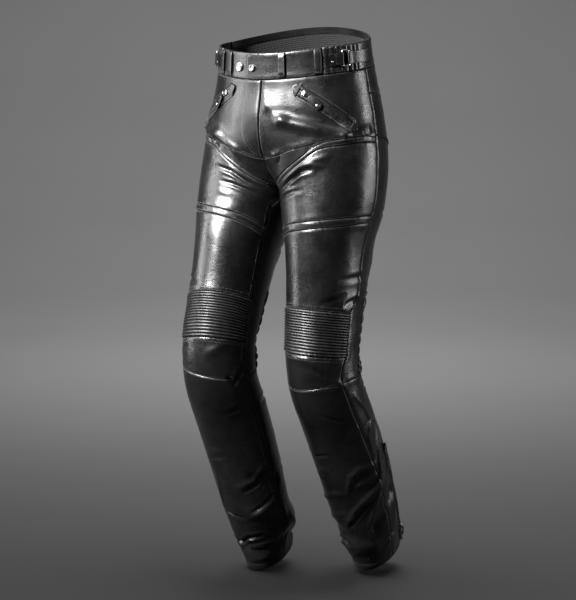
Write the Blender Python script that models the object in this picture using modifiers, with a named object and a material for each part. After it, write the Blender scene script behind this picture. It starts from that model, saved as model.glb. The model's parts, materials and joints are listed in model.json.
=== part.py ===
"""Leather motorcycle trousers, worn and striding: every cut panel is a wall of its own, with its zips and fittings.

Metres, +Z up. The front faces -Y, and the wearer's left is +X. The origin is the middle of the waist, at the height
of the waist seam at the sides. A place on the cloth is (side, u, v): the side is +1 on the wearer's left, u runs from
0 at centre front round the side (0.5) to 1 at centre back, and v is the distance below the waist seam. Below the
crotch u goes once round the leg, starting on its inner side.
"""

from collections import namedtuple
from dataclasses import dataclass
from math import cos, pi, radians, sin

import bmesh
import bpy
import numpy as np
from mathutils import Matrix, Vector

LEFT, RIGHT = 1, -1
SIDES = ((LEFT, "left"), (RIGHT, "right"))

# The cloth, and the space between pieces
WALL = 0.0016
LINING_WALL = 0.0010
SEAM_GAP = 0.0003
REST_GAP = 0.0005
BAR_GAP = 0.0006
LAP_GAP = 0.0007
# The sharpest corner of a panel still moves in by no more than this allows
LEAST_MITRE = 0.4

# Where the trunk divides into legs: distances down, the share round that the division takes, and how it curves
BLEND_FROM, CROTCH, BLEND_TO = 0.050, 0.212, 0.320
OUTER_BLEND_FROM = 0.060
DIVISION_SHARE = 0.11
DIVISION_ROUND, DIVISION_FLAT = 2.4, 0.6
DIVISION_FADE = 0.06

# Heights down the garment, and between which of them each joint of the wearer bends the cloth
HEM = 0.941
WAIST_TOP = -0.046
HIP_PIVOT = (0.088, -0.0105, 0.0)
HIP_TURN = (0.06, 0.30)
KNEE_TURN = (0.45, 0.61)
TOE_TURN = (0.08, 0.42)
INNER_SEAM = 0.055
SPINE_STEP = 0.002

# The waist stands higher at the back and lower in front, over these shares round it, and is level further down
BACK_RISE, BACK_RISE_FROM = 0.030, 0.4
FRONT_DIP, FRONT_DIP_TO = 0.018, 0.5
TILT_FADE = (-0.02, 0.16)

Section = namedtuple("Section", "down half_width front back")

# Half width and depths of the body, round the trunk's own middle
TORSO = (
    Section(-0.046, 0.1450, 0.0965, 0.1010),
    Section(0.000, 0.1500, 0.0965, 0.1130),
    Section(0.080, 0.1665, 0.1070, 0.1330),
    Section(0.150, 0.1775, 0.1125, 0.1420),
    Section(0.220, 0.1820, 0.1080, 0.1310),
    Section(0.340, 0.1720, 0.1000, 0.1100),
)
# The same of one leg, round the leg's bending middle line
LEG = (
    Section(0.000, 0.0870, 0.0950, 0.1100),
    Section(0.120, 0.0870, 0.0950, 0.1100),
    Section(0.212, 0.0878, 0.0930, 0.1080),
    Section(0.320, 0.0710, 0.0820, 0.0940),
    Section(0.400, 0.0665, 0.0750, 0.0740),
    Section(0.490, 0.0650, 0.0710, 0.0480),
    Section(0.555, 0.0660, 0.0610, 0.0590),
    Section(0.640, 0.0670, 0.0490, 0.0680),
    Section(0.740, 0.0650, 0.0475, 0.0650),
    Section(0.860, 0.0575, 0.0540, 0.0560),
    Section(0.941, 0.0405, 0.0590, 0.0610),
)


@dataclass(frozen=True)
class Pose:
    """How one leg stands: angles in degrees, and the share of its length that its creases leave below the knee."""

    thigh_forward: float
    shin_back: float
    thigh_out: float
    shin_out: float
    toe_out: float
    shin_length: float


POSES = {
    LEFT: Pose(4.5, 27.8, -0.6, 1.8, 4.3, 0.97),
    RIGHT: Pose(17.6, 24.8, 1.6, -2.4, -8.7, 1.0),
}

Fold = namedtuple("Fold", "u0 v0 u1 v1 half_width height")

# The largest creases: a ridge is raised along each line, or a trough sunk where the height is negative
SHARED_FOLDS = (
    Fold(0.62, 0.285, 0.90, 0.262, 0.016, -0.0035),
    Fold(0.60, 0.330, 0.88, 0.318, 0.016, 0.0020),
    Fold(0.60, 0.480, 0.92, 0.476, 0.014, -0.0050),
    Fold(0.60, 0.515, 0.92, 0.512, 0.014, 0.0030),
)
FOLDS = {
    LEFT: SHARED_FOLDS
    + (
        Fold(0.01, 0.040, 0.09, 0.078, 0.011, 0.0045),
        Fold(0.09, 0.078, 0.33, 0.110, 0.011, 0.0050),
        Fold(0.33, 0.110, 0.44, 0.102, 0.010, 0.0035),
        Fold(0.05, 0.062, 0.30, 0.088, 0.012, -0.0030),
        Fold(0.38, 0.785, 0.52, 0.725, 0.012, 0.0035),
        Fold(0.36, 0.845, 0.52, 0.795, 0.012, -0.0040),
        Fold(0.05, 0.850, 0.24, 0.862, 0.012, -0.0035),
        Fold(0.10, 0.893, 0.36, 0.886, 0.012, 0.0040),
        Fold(0.62, 0.870, 0.95, 0.850, 0.014, -0.0045),
    ),
    RIGHT: SHARED_FOLDS
    + (
        Fold(0.28, 0.092, 0.20, 0.110, 0.011, 0.0035),
        Fold(0.20, 0.110, 0.12, 0.136, 0.011, 0.0045),
        Fold(0.26, 0.125, 0.15, 0.140, 0.010, -0.0030),
        Fold(0.03, 0.762, 0.16, 0.745, 0.013, -0.0035),
        Fold(0.04, 0.835, 0.22, 0.815, 0.013, 0.0035),
        Fold(0.03, 0.895, 0.30, 0.888, 0.012, -0.0050),
        Fold(0.80, 0.880, 1.02, 0.862, 0.022, 0.0080),
        Fold(0.62, 0.905, 0.98, 0.912, 0.012, -0.0045),
    ),
}
# Metres round the cloth for one unit of u, as the creases measure it
MEAN_GIRTH = 0.50

# Seams across the leg, as distances below the waist seam at stations round it, and the cells down to the next one
STATIONS = (0.00, 0.06, 0.12, 0.17, 0.22, 0.33, 0.50, 0.75, 1.00)
RowSeam = namedtuple("RowSeam", "name down cells")
ROW_SEAMS = (
    RowSeam("waist_top", (WAIST_TOP,) * 9, 2),
    RowSeam("waist", (0.0,) * 9, 8),
    RowSeam("hip_low", (0.152, 0.146, 0.137, 0.130, 0.123, 0.112, 0.109, 0.140, 0.185), 1),
    RowSeam("band_top", (0.200, 0.188, 0.168, 0.149, 0.128, 0.116, 0.113, 0.146, 0.198), 1),
    RowSeam("band_low", (0.212, 0.199, 0.178, 0.159, 0.138, 0.126, 0.123, 0.156, 0.212), 3),
    RowSeam("thigh_band_top", (0.288, 0.285, 0.275, 0.268, 0.264, 0.256, 0.248, 0.262, 0.286), 1),
    RowSeam("thigh_band_low", (0.300, 0.297, 0.289, 0.282, 0.278, 0.270, 0.260, 0.274, 0.298), 4),
    RowSeam("accordion_top", (0.416, 0.415, 0.413, 0.412, 0.412, 0.414, 0.418, 0.418, 0.416), 4),
    RowSeam("accordion_low", (0.488, 0.487, 0.486, 0.486, 0.486, 0.488, 0.492, 0.490, 0.488), 3),
    RowSeam("kneecap_low", (0.540, 0.540, 0.540, 0.539, 0.537, 0.532, 0.530, 0.535, 0.540), 15),
    RowSeam("hem", (HEM,) * 9, 0),
)
ROW = {}
for seam in ROW_SEAMS:
    ROW[seam.name] = sum(earlier.cells for earlier in ROW_SEAMS[: len(ROW)])
YOKE_CELLS = 3
LINING_CELLS_BELOW = 2
# Columns depend on rows and rows on columns, so their crossings are found in rounds
SETTLING_ROUNDS = 12

# Lines down the cloth, as shares round it at distances below the waist seam, and the cells round to the next one
Rail = namedtuple("Rail", "name cells places")
CALF_ZIP_U = 0.585
RAILS = (
    Rail("front", 4, ((WAIST_TOP, 0.0), (CROTCH, 0.0), (0.245, INNER_SEAM), (HEM, INNER_SEAM))),
    Rail("thigh", 4, ((WAIST_TOP, 0.255), (0.0, 0.255), (0.12, 0.22), (0.20, 0.22), (0.30, 0.25), (HEM, 0.25))),
    Rail(
        "side",
        3,
        (
            (WAIST_TOP, 0.50),
            (0.38, 0.49),
            (0.415, 0.45),
            (0.488, 0.44),
            (0.52, 0.405),
            (0.56, 0.42),
            (0.65, 0.43),
            (0.74, 0.45),
            (HEM, 0.46),
        ),
    ),
    Rail("calf_zip", 9, ((WAIST_TOP, CALF_ZIP_U), (HEM, CALF_ZIP_U))),
    Rail("back", 0, ((WAIST_TOP, 1.0), (CROTCH, 1.0), (0.245, 1.0 + INNER_SEAM), (HEM, 1.0 + INNER_SEAM))),
)
COLUMN = {}
for rail in RAILS:
    COLUMN[rail.name] = sum(earlier.cells for earlier in RAILS[: len(COLUMN)])
SHIRR_TO = COLUMN["side"] - 1
STRETCH_FROM = COLUMN["side"] + 2
STRETCH_TO = COLUMN["back"] - 2

# Ribs and bands
KNEE_RIB, BACK_RIB, SHIRR_RIB = 0.0022, 0.0024, 0.0014
KNEE_RIBS_A_CELL, BACK_RIBS_A_CELL, SHIRR_RIBS_A_CELL = 4, 1, 2
BAND_RAISE = 0.0007
# The outer face of the tab that laps over the band, above the band
TAB_HEIGHT = WALL + LAP_GAP

# Zips
PocketZip = namedtuple("PocketZip", "u0 v0 u1 v1")
POCKET_ZIP = PocketZip(0.150, 0.0215, 0.365, 0.0890)
CALF_ZIP = (0.715, 0.928)
TAPE_WIDTH, TAPE_THICK = 0.017, 0.0012
CHAIN_WIDTH, CHAIN_THICK = 0.0052, 0.0012
ZIP_CELLS = 18
POCKET_SLIDER_SHARE = 0.14
CALF_SLIDER_SHARE = 0.88
# The pin lies this many radii under the top of the slider's ears, and goes into each by this share of its thickness
PIN_UNDER_TOP, PIN_IN_EARS = 1.6, 0.6
# The link's hook as a share of its thickness, and how far the link goes into the tab
HOOK_SHARE, LINK_IN_TAB = 0.8, 0.0025
# The rivet's place and radius as shares of the tab's width, and how far it stands out of each face
RIVET_FROM_END, RIVET_SHARE, RIVET_PROUD = 0.42, 0.16, 0.0006
# A pull's end at the link, as a share of its full width
TAB_START_WIDTH = 0.72


@dataclass(frozen=True)
class PullSizes:
    """A zip slider and the pull on it, in metres."""

    body: tuple[float, float, float]
    ear: tuple[float, float, float]
    ear_spread: float
    pin_radius: float
    link: tuple[float, float, float]
    tab: tuple[float, float, float]
    tab_turn: float
    droop: float


POCKET_PULL = PullSizes((0.0120, 0.0084, 0.0026), (0.0036, 0.0011, 0.0036), 0.0023, 0.0008,
                        (0.0110, 0.0030, 0.0010), (0.0280, 0.0150, 0.0022), -15.0, 8.0)
CALF_PULL = PullSizes((0.0105, 0.0076, 0.0026), (0.0034, 0.0010, 0.0034), 0.0021, 0.0008,
                      (0.0080, 0.0028, 0.0010), (0.0150, 0.0090, 0.0020), 0.0, 8.0)

BLACK_LEATHER = ("black leather", (0.018, 0.018, 0.020, 1), 0.38, 0.0)
STRETCH_LEATHER = ("stretch leather", (0.022, 0.022, 0.024, 1), 0.45, 0.0)
MESH_CLOTH = ("mesh cloth", (0.010, 0.010, 0.011, 1), 0.90, 0.0)
ZIP_CLOTH = ("zip cloth", (0.014, 0.014, 0.015, 1), 0.80, 0.0)
DARK_METAL = ("dark metal", (0.30, 0.30, 0.31, 1), 0.30, 1.0)


def smooth(x, low, high):
    """0 below low, 1 above high, with an even S between them."""
    share = np.clip((x - low) / (high - low), 0.0, 1.0)
    return share * share * (3 - 2 * share)


def through(places, values, at):
    """A smooth curve through the values at the places, read at other places."""
    places = np.asarray(places, float)
    values = np.asarray(values, float)
    slopes = np.gradient(values, places)
    at = np.clip(at, places[0], places[-1])
    i = np.clip(np.searchsorted(places, at) - 1, 0, len(places) - 2)
    step = places[i + 1] - places[i]
    t = (at - places[i]) / step
    from_values = (2 * t**3 - 3 * t**2 + 1) * values[i] + (3 * t**2 - 2 * t**3) * values[i + 1]
    from_slopes = (t**3 - 2 * t**2 + t) * slopes[i] + (t**3 - t**2) * slopes[i + 1]
    return from_values + step * from_slopes


def section(table, column, down):
    """One column of a table of sections, read at distances down."""
    return through([row.down for row in table], [getattr(row, column) for row in table], down)


class Spine:
    """The middle line of one leg, from the waist seam down, and how the leg is turned at each distance."""

    def __init__(self, pose):
        self.down = np.arange(0.0, HEM + SPINE_STEP, SPINE_STEP)
        hip = smooth(self.down, *HIP_TURN)
        knee = smooth(self.down, *KNEE_TURN)
        self.pitch = np.radians(pose.thigh_forward * hip - (pose.thigh_forward + pose.shin_back) * knee)
        self.spread = np.radians(pose.thigh_out * hip + (pose.shin_out - pose.thigh_out) * knee)
        self.toe = np.radians(pose.toe_out) * smooth(self.down, *TOE_TURN)
        ahead = np.stack(
            [
                np.sin(self.spread) * np.cos(self.pitch),
                -np.sin(self.pitch),
                -np.cos(self.spread) * np.cos(self.pitch),
            ],
            -1,
        )
        x, y = ahead[:, 0].copy(), ahead[:, 1].copy()
        ahead[:, 0] = x * np.cos(self.toe) - y * np.sin(self.toe)
        ahead[:, 1] = x * np.sin(self.toe) + y * np.cos(self.toe)
        step = SPINE_STEP * (1 - (1 - pose.shin_length) * knee)[:, None]
        self.place = np.cumsum(ahead * step, 0) - ahead[:1] * SPINE_STEP + np.array(HIP_PIVOT)

    def at(self, down):
        """Middle point, pitch, spread and toe angle at distances down."""
        down = np.clip(down, 0.0, None)
        middle = np.stack([np.interp(down, self.down, self.place[:, k]) for k in range(3)], -1)
        angles = [np.interp(down, self.down, values) for values in (self.pitch, self.spread, self.toe)]
        return middle, *angles


SPINES = {side: Spine(POSES[side]) for side, _ in SIDES}


def torso_ring(u, v):
    """Points on the trunk, for the wearer's left half."""
    angle = pi * u
    front = np.cos(angle) > 0
    depth = np.where(front, section(TORSO, "front", v), section(TORSO, "back", v))
    rise = BACK_RISE * smooth(u, BACK_RISE_FROM, 1.0) - FRONT_DIP * smooth(1 - u, 1 - FRONT_DIP_TO, 1.0)
    fade = 1 - smooth(v, *TILT_FADE)
    return np.stack([section(TORSO, "half_width", v) * np.sin(angle), -depth * np.cos(angle), rise * fade - v], -1)


def leg_ring(side, u, v):
    """Points on one leg, as if it were the left one."""
    middle, pitch, spread, toe = SPINES[side].at(v)
    angle = 2 * pi * u
    across = -section(LEG, "half_width", v) * np.cos(angle)
    depth = np.where(np.sin(angle) > 0, section(LEG, "front", v), section(LEG, "back", v))
    along = -depth * np.sin(angle)
    x, y = across * np.cos(spread), along * np.cos(pitch)
    z = across * np.sin(spread) - along * np.sin(pitch)
    turned = np.stack([x * np.cos(toe) - y * np.sin(toe), x * np.sin(toe) + y * np.cos(toe), z], -1)
    turned[..., 2] += np.where(v < 0, -v, 0.0)
    return middle + turned


def smooth_cloth(side, u, v):
    """Points on the cloth without its creases, on the wearer's left or right."""
    u, v = np.broadcast_arrays(np.asarray(u, float), np.asarray(v, float))
    round_leg = np.where(u > 1, u - 1, u)
    near = np.exp(-((np.minimum(round_leg, 1 - round_leg) / DIVISION_SHARE) ** 2))
    share = np.clip((v - BLEND_FROM) / (CROTCH - BLEND_FROM), 0, 1)
    edge = 1 - np.clip(1 - share**DIVISION_ROUND, 0, 1) ** DIVISION_FLAT
    weight = near * edge + (1 - near) * smooth(v, OUTER_BLEND_FROM, BLEND_TO)
    leg = leg_ring(side, round_leg, v)
    inner = leg_ring(side, np.zeros_like(v), np.minimum(v, CROTCH))[..., 0]
    leg[..., 0] -= inner * near * (1 - smooth(v, CROTCH, CROTCH + DIVISION_FADE))
    points = torso_ring(round_leg, v) * (1 - weight[..., None]) + leg * weight[..., None]
    points[..., 0] *= side
    return points


def crease_height(side, u, v):
    """How far the creases raise the cloth."""
    height = np.zeros_like(v)
    for fold in FOLDS[side]:
        run = np.array([(fold.u1 - fold.u0) * MEAN_GIRTH, fold.v1 - fold.v0])
        length = np.hypot(*run)
        a = (u - fold.u0) * MEAN_GIRTH
        b = v - fold.v0
        share = np.clip((a * run[0] + b * run[1]) / length**2, 0, 1)
        off = np.hypot(a - share * run[0], b - share * run[1])
        height = height + fold.height * np.exp(-((off / fold.half_width) ** 2))
    return height


class Lattice:
    """The crossings of the seams and the lines between them, on one side of the garment.

    points[i, j] is on column i round the garment and row j down it. Its cells are split into two flat triangles by
    the line from (i, j) to (i + 1, j + 1), and everything that lies on the cloth is placed on those triangles.
    """

    def __init__(self, side):
        self.side = side
        columns, rows = COLUMN["back"], ROW["hem"]
        self.u = np.zeros((columns + 1, rows + 1))
        self.v = np.zeros((columns + 1, rows + 1))
        i = np.arange(columns + 1)[:, None]
        j = np.arange(rows + 1)[None, :]
        self.u[:] = i / columns
        for _ in range(SETTLING_ROUNDS):
            self.v = self._row_places(self.u, j)
            self.u = self._column_places(i, self.v)
        uncreased = smooth_cloth(side, self.u, self.v)
        self.normals = self._shared_normals(uncreased)
        creases = crease_height(side, self.u, self.v)
        creases[:, 0] = 0.0
        below = slice(ROW["band_low"], None)
        creases[[0, columns], below] = (creases[[0], below] + creases[[columns], below]) / 2
        self.points = uncreased + self.normals * creases[..., None]

    def _row_places(self, u, j):
        folded = np.where(u > 1, u - 1, u)
        lines = [through(STATIONS, seam.down, folded) for seam in ROW_SEAMS]
        starts = [ROW[seam.name] for seam in ROW_SEAMS]
        return self._between(lines, starts, np.broadcast_to(j, u.shape))

    def _column_places(self, i, v):
        lines = [np.interp(v, *zip(*rail.places)) for rail in RAILS]
        starts = [COLUMN[rail.name] for rail in RAILS]
        return self._between(lines, starts, np.broadcast_to(i, v.shape))

    @staticmethod
    def _between(lines, starts, index):
        value = lines[0].copy()
        for k in range(len(lines) - 1):
            share = np.clip((index - starts[k]) / (starts[k + 1] - starts[k]), 0, 1)
            value = np.where(index >= starts[k], lines[k] + share * (lines[k + 1] - lines[k]), value)
        return value

    def _shared_normals(self, points):
        """Outward directions at the crossings: the mean of the flat triangles that meet there, on both sides of a seam."""
        first, right = points[:-1, :-1], points[1:, :-1]
        below, corner = points[:-1, 1:], points[1:, 1:]
        upper = np.cross(corner - first, right - first) * self.side
        lower = np.cross(below - first, corner - first) * self.side
        normals = np.zeros_like(points)
        normals[:-1, :-1] += upper + lower
        normals[1:, 1:] += upper + lower
        normals[1:, :-1] += upper
        normals[:-1, 1:] += lower
        last, crotch = COLUMN["back"], ROW["band_low"]
        normals[[0, last], :crotch, 0] = 0.0
        normals[[0, last], crotch:] = normals[0, crotch:] + normals[last, crotch:]
        return normals / np.linalg.norm(normals, axis=-1, keepdims=True)

    def index_of(self, u, v):
        """Column and row, with fractions, of a place on the cloth."""
        columns = np.arange(COLUMN["back"] + 1)
        rows = np.arange(ROW["hem"] + 1)
        i, j = u * COLUMN["back"], np.interp(v, self.v[COLUMN["thigh"]], rows)
        for _ in range(SETTLING_ROUNDS):
            low = int(min(max(j, 0), ROW["hem"] - 1e-6))
            line = self.u[:, low] + (j - low) * (self.u[:, low + 1] - self.u[:, low])
            i = np.interp(u, line, columns)
            low = int(min(max(i, 0), COLUMN["back"] - 1e-6))
            line = self.v[low] + (i - low) * (self.v[low + 1] - self.v[low])
            j = np.interp(v, line, rows)
        return i, j

    def at(self, u, v, height=0.0):
        """The point at a height above the flat triangle under a place."""
        i, j = self.index_of(u, v)
        low_i = int(min(i, COLUMN["back"] - 1e-6))
        low_j = int(min(j, ROW["hem"] - 1e-6))
        s, t = i - low_i, j - low_j
        corner = (low_i + 1, low_j) if s >= t else (low_i, low_j + 1)
        parts = (1 - max(s, t), abs(s - t), min(s, t))
        found = []
        for values in (self.points, self.normals):
            corners = (values[low_i, low_j], values[corner], values[low_i + 1, low_j + 1])
            found.append(sum(part * value for part, value in zip(parts, corners)))
        point, normal = found
        return point + normal / np.linalg.norm(normal) * height


class Spot:
    """A flat frame laid on the cloth: a runs round the garment, b down it, both in metres and turned together."""

    def __init__(self, lattice, u, v, turn=0.0):
        self.lattice, self.u, self.v, self.turn = lattice, u, v, radians(turn)
        side, step = lattice.side, 0.01
        self.u_length = np.linalg.norm(smooth_cloth(side, u + step, v) - smooth_cloth(side, u - step, v)) / (2 * step)
        self.v_length = np.linalg.norm(smooth_cloth(side, u, v + step) - smooth_cloth(side, u, v - step)) / (2 * step)

    def at(self, a, b, height):
        """World point at (a, b) on the cloth and a height above it."""
        round_it = a * cos(self.turn) - b * sin(self.turn)
        down = a * sin(self.turn) + b * cos(self.turn)
        return self.lattice.at(self.u + round_it / self.u_length, self.v + down / self.v_length, height)

    def frame(self, a=0.0, b=0.0, height=0.0, reach=0.006):
        """Matrix of a rigid fitting at (a, b): its X runs along b, its Z away from the cloth."""
        origin = Vector(self.at(a, b, height))
        along = Vector(self.at(a, b + reach, 0)) - Vector(self.at(a, b - reach, 0))
        across = Vector(self.at(a + reach, b, 0)) - Vector(self.at(a - reach, b, 0))
        normal = along.cross(across)
        if normal.dot(Vector(self.at(a, b, 0.01)) - Vector(self.at(a, b, 0))) < 0:
            normal.negate()
        along.normalize()
        normal.normalize()
        columns = Matrix((along, normal.cross(along), normal)).transposed().to_4x4()
        return Matrix.Translation(origin) @ columns


def add_object(name, mesh, finish, smooth_angle=40):
    """An object in the garment's collection, with its material."""
    label, colour, roughness, metallic = finish
    material = bpy.data.materials.get(label)
    if material is None:
        material = bpy.data.materials.new(label)
        material.use_nodes = True
        shader = material.node_tree.nodes["Principled BSDF"]
        shader.inputs["Base Color"].default_value = colour
        shader.inputs["Roughness"].default_value = roughness
        shader.inputs["Metallic"].default_value = metallic
    mesh.materials.append(material)
    mesh.shade_smooth()
    mesh.set_sharp_from_angle(angle=radians(smooth_angle))
    made = bpy.data.objects.new(name, mesh)
    bpy.data.collections["motorcycle trousers"].objects.link(made)
    return made


def finished_mesh(name, shape):
    """A mesh from a bmesh, with its faces turned outward."""
    bmesh.ops.recalc_face_normals(shape, faces=shape.faces)
    mesh = bpy.data.meshes.new(name)
    shape.to_mesh(mesh)
    shape.free()
    return mesh


def seam_shifts(points, normals, cells):
    """How far each border point of a set of cells moves in, so that half a seam gap is left along every edge."""
    shifts = {}
    inward = {}
    for i, j in cells:
        corners = ((i, j), (i + 1, j), (i + 1, j + 1), (i, j + 1))
        beyond = ((i, j - 1), (i + 1, j), (i, j + 1), (i - 1, j))
        middle = sum(points[c] for c in corners) / 4
        for k in range(4):
            if beyond[k] in cells:
                continue
            first, second = corners[k], corners[(k + 1) % 4]
            run = points[second] - points[first]
            run = run / np.linalg.norm(run)
            for end in (first, second):
                way = np.cross(normals[end], run)
                way = way / np.linalg.norm(way)
                if np.dot(way, middle - points[first]) < 0:
                    way = -way
                inward.setdefault(end, []).append(way)
    for end, ways in inward.items():
        total = sum(ways)
        if len(ways) == 1:
            shift = ways[0]
        else:
            shift = total / max(1 + np.dot(ways[0], ways[1]), LEAST_MITRE)
        shifts[end] = shift * SEAM_GAP / 2
    return shifts


def wall(name, points, normals, cells, finish, thickness=WALL, raise_by=0.0, ribs=0, rib_height=0.0, rib_across=False):
    """A panel: the cells' outer face, a plain inner face a wall's thickness under it, and the edges between.

    With ribs, each cell's outer face has that many ribs, running round the garment, or down it with rib_across.
    """
    if rib_across:
        points, normals = points.swapaxes(0, 1), normals.swapaxes(0, 1)
        cells = {(j, i) for i, j in cells}
    shifts = seam_shifts(points, normals, cells)
    zero = np.zeros(3)
    shape = bmesh.new()
    outer, inner = {}, {}
    corners = sorted({(i + a, j + b) for i, j in cells for a in (0, 1) for b in (0, 1)})
    for c in corners:
        place = points[c] + shifts.get(c, zero)
        inner[c] = shape.verts.new(place - normals[c] * thickness)
        outer[c] = shape.verts.new(place + normals[c] * raise_by)
    steps = 2 * ribs if ribs else 1
    edges = {}

    def down_edge(i, j):
        """The outer points down a cell's edge, from (i, j) to (i, j + 1)."""
        if (i, j) not in edges:
            first, last = outer[i, j], outer[i, j + 1]
            run = [first]
            for k in range(1, steps):
                share = k / steps
                lift = rib_height if k % 2 else 0.0
                way = normals[i, j] * (1 - share) + normals[i, j + 1] * share
                run.append(shape.verts.new(first.co.lerp(last.co, share) + Vector(way * lift)))
            edges[i, j] = run + [last]
        return edges[i, j]

    for i, j in sorted(cells):
        near, far = down_edge(i, j), down_edge(i + 1, j)
        for k in range(steps):
            shape.faces.new((near[k], far[k], far[k + 1]))
            shape.faces.new((near[k], far[k + 1], near[k + 1]))
        a, b, c, d = inner[i, j], inner[i + 1, j], inner[i + 1, j + 1], inner[i, j + 1]
        shape.faces.new((a, c, b))
        shape.faces.new((a, d, c))
        if (i, j - 1) not in cells:
            shape.faces.new((near[0], a, b, far[0]))
        if (i, j + 1) not in cells:
            shape.faces.new((near[-1], far[-1], c, d))
        if (i - 1, j) not in cells:
            shape.faces.new(near + [d, a])
        if (i + 1, j) not in cells:
            shape.faces.new(far[::-1] + [b, c])
    return add_object(name, finished_mesh(name, shape), finish)


def block_of(*ranges):
    """The cells of one or more (first column, last column, first row, last row) blocks."""
    return {(i, j) for i0, i1, j0, j1 in ranges for i in range(i0, i1) for j in range(j0, j1)}


def slab(name, spot, a_lines, b_places, low, high, finish):
    """A solid lying on the cloth, between two heights given as functions of (a, b).

    a_lines gives the places across at each place down, so that an end can be rounded.
    """
    shape = bmesh.new()
    layers = []
    for height in (low, high):
        layers.append([[shape.verts.new(spot.at(a, b, height(a, b))) for a in a_lines(b)] for b in b_places])
    under, over = layers
    last_row, last_column = len(under) - 1, len(under[0]) - 1
    for r in range(last_row):
        for c in range(last_column):
            shape.faces.new((over[r][c], over[r][c + 1], over[r + 1][c + 1], over[r + 1][c]))
            shape.faces.new((under[r][c], under[r + 1][c], under[r + 1][c + 1], under[r][c + 1]))
        for c in (0, last_column):
            shape.faces.new((under[r][c], under[r + 1][c], over[r + 1][c], over[r][c]))
    for r in (0, last_row):
        for c in range(last_column):
            shape.faces.new((under[r][c], under[r][c + 1], over[r][c + 1], over[r][c]))
    return add_object(name, finished_mesh(name, shape), finish)


def folded_strap(name, spot, outline, b_places, finish):
    """A strap bent out of the cloth's plane: its side outline in (a, height), carried along b."""
    outline = split_runs(outline)
    shape = bmesh.new()
    rows = [[shape.verts.new(spot.at(a, b, height)) for a, height in outline] for b in b_places]
    count = len(outline)
    for first, second in zip(rows, rows[1:]):
        for k in range(count):
            shape.faces.new((first[k], first[(k + 1) % count], second[(k + 1) % count], second[k]))
    shape.faces.new(rows[0])
    shape.faces.new(rows[-1][::-1])
    return add_object(name, finished_mesh(name, shape), finish)


def split_runs(outline, longest=0.008):
    """The outline with points added along its long runs, so that they follow the cloth."""
    split = []
    for first, second in zip(outline, outline[1:] + outline[:1]):
        count = max(1, round(abs(second[0] - first[0]) / longest))
        split += list(zip(even(first[0], second[0], count), even(first[1], second[1], count)))[:-1]
    return split


def even(first, last, count):
    """count + 1 places, evenly spaced."""
    return [first + (last - first) * k / count for k in range(count + 1)]


def flat(value):
    """The same height everywhere."""
    return lambda a, b: value


def across(half_width, count):
    """Even places across a strip of one width."""
    return lambda b: even(-half_width, half_width, count)


def primitive(kind, **sizes):
    """A bmesh primitive as a mesh object in the helpers' collection, for joining."""
    shape = bmesh.new()
    getattr(bmesh.ops, kind)(shape, **sizes)
    made = bpy.data.objects.new("helper", finished_mesh("helper", shape))
    bpy.data.collections["helpers"].objects.link(made)
    return made


def box_at(sizes, place):
    """A box with its middle at a place."""
    matrix = Matrix.Translation(place) @ Matrix.Diagonal((*sizes, 1))
    return primitive("create_cube", size=1.0, matrix=matrix)


def rod_at(radius, length, place, turn=None, segments=10):
    """A round rod with its middle at a place, along Z until it is turned."""
    matrix = Matrix.Translation(place) @ (turn or Matrix.Identity(4))
    return primitive("create_cone", cap_ends=True, segments=segments, radius1=radius, radius2=radius, depth=length,
                     matrix=matrix)


def joined(name, pieces, finish, matrix):
    """One solid from overlapping helpers, placed by a matrix."""
    first, *others = pieces
    for other in others:
        union = first.modifiers.new("join", "BOOLEAN")
        union.operation = "UNION"
        union.object = other
    bpy.context.view_layer.update()
    graph = bpy.context.evaluated_depsgraph_get()
    mesh = bpy.data.meshes.new_from_object(first.evaluated_get(graph))
    for piece in pieces:
        bpy.data.objects.remove(piece)
    made = add_object(name, mesh, finish)
    made.matrix_world = matrix
    return made


def side_outline(outline, width):
    """A flat (x, z) outline carried across Y, as a helper."""
    shape = bmesh.new()
    ends = [[shape.verts.new((x, y, z)) for x, z in outline] for y in (-width / 2, width / 2)]
    count = len(outline)
    for k in range(count):
        shape.faces.new((ends[0][k], ends[0][(k + 1) % count], ends[1][(k + 1) % count], ends[1][k]))
    shape.faces.new(ends[0])
    shape.faces.new(ends[1][::-1])
    made = bpy.data.objects.new("helper", finished_mesh("helper", shape))
    bpy.data.collections["helpers"].objects.link(made)
    return made


def rounded_tab(sizes, place, turn, corner_steps=4):
    """A leather pull: straight at the link, round at its far end, lying along +X from a place."""
    length, width, thick = sizes
    radius = width / 2
    start = radius * TAB_START_WIDTH
    turns = even(0.0, pi, 2 * corner_steps)
    outline = [(length - radius + radius * sin(t), -radius * cos(t)) for t in turns]
    outline = [(0.0, -start)] + outline + [(0.0, start)]
    shape = bmesh.new()
    face = shape.faces.new([shape.verts.new((x, y, -thick / 2)) for x, y in outline])
    raised = bmesh.ops.extrude_face_region(shape, geom=[face])
    tops = [item for item in raised["geom"] if isinstance(item, bmesh.types.BMVert)]
    bmesh.ops.translate(shape, verts=tops, vec=(0, 0, thick))
    shape.transform(Matrix.Translation(place) @ Matrix.Rotation(radians(turn), 4, "Z"))
    made = bpy.data.objects.new("helper", finished_mesh("helper", shape))
    bpy.data.collections["helpers"].objects.link(made)
    return made


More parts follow.
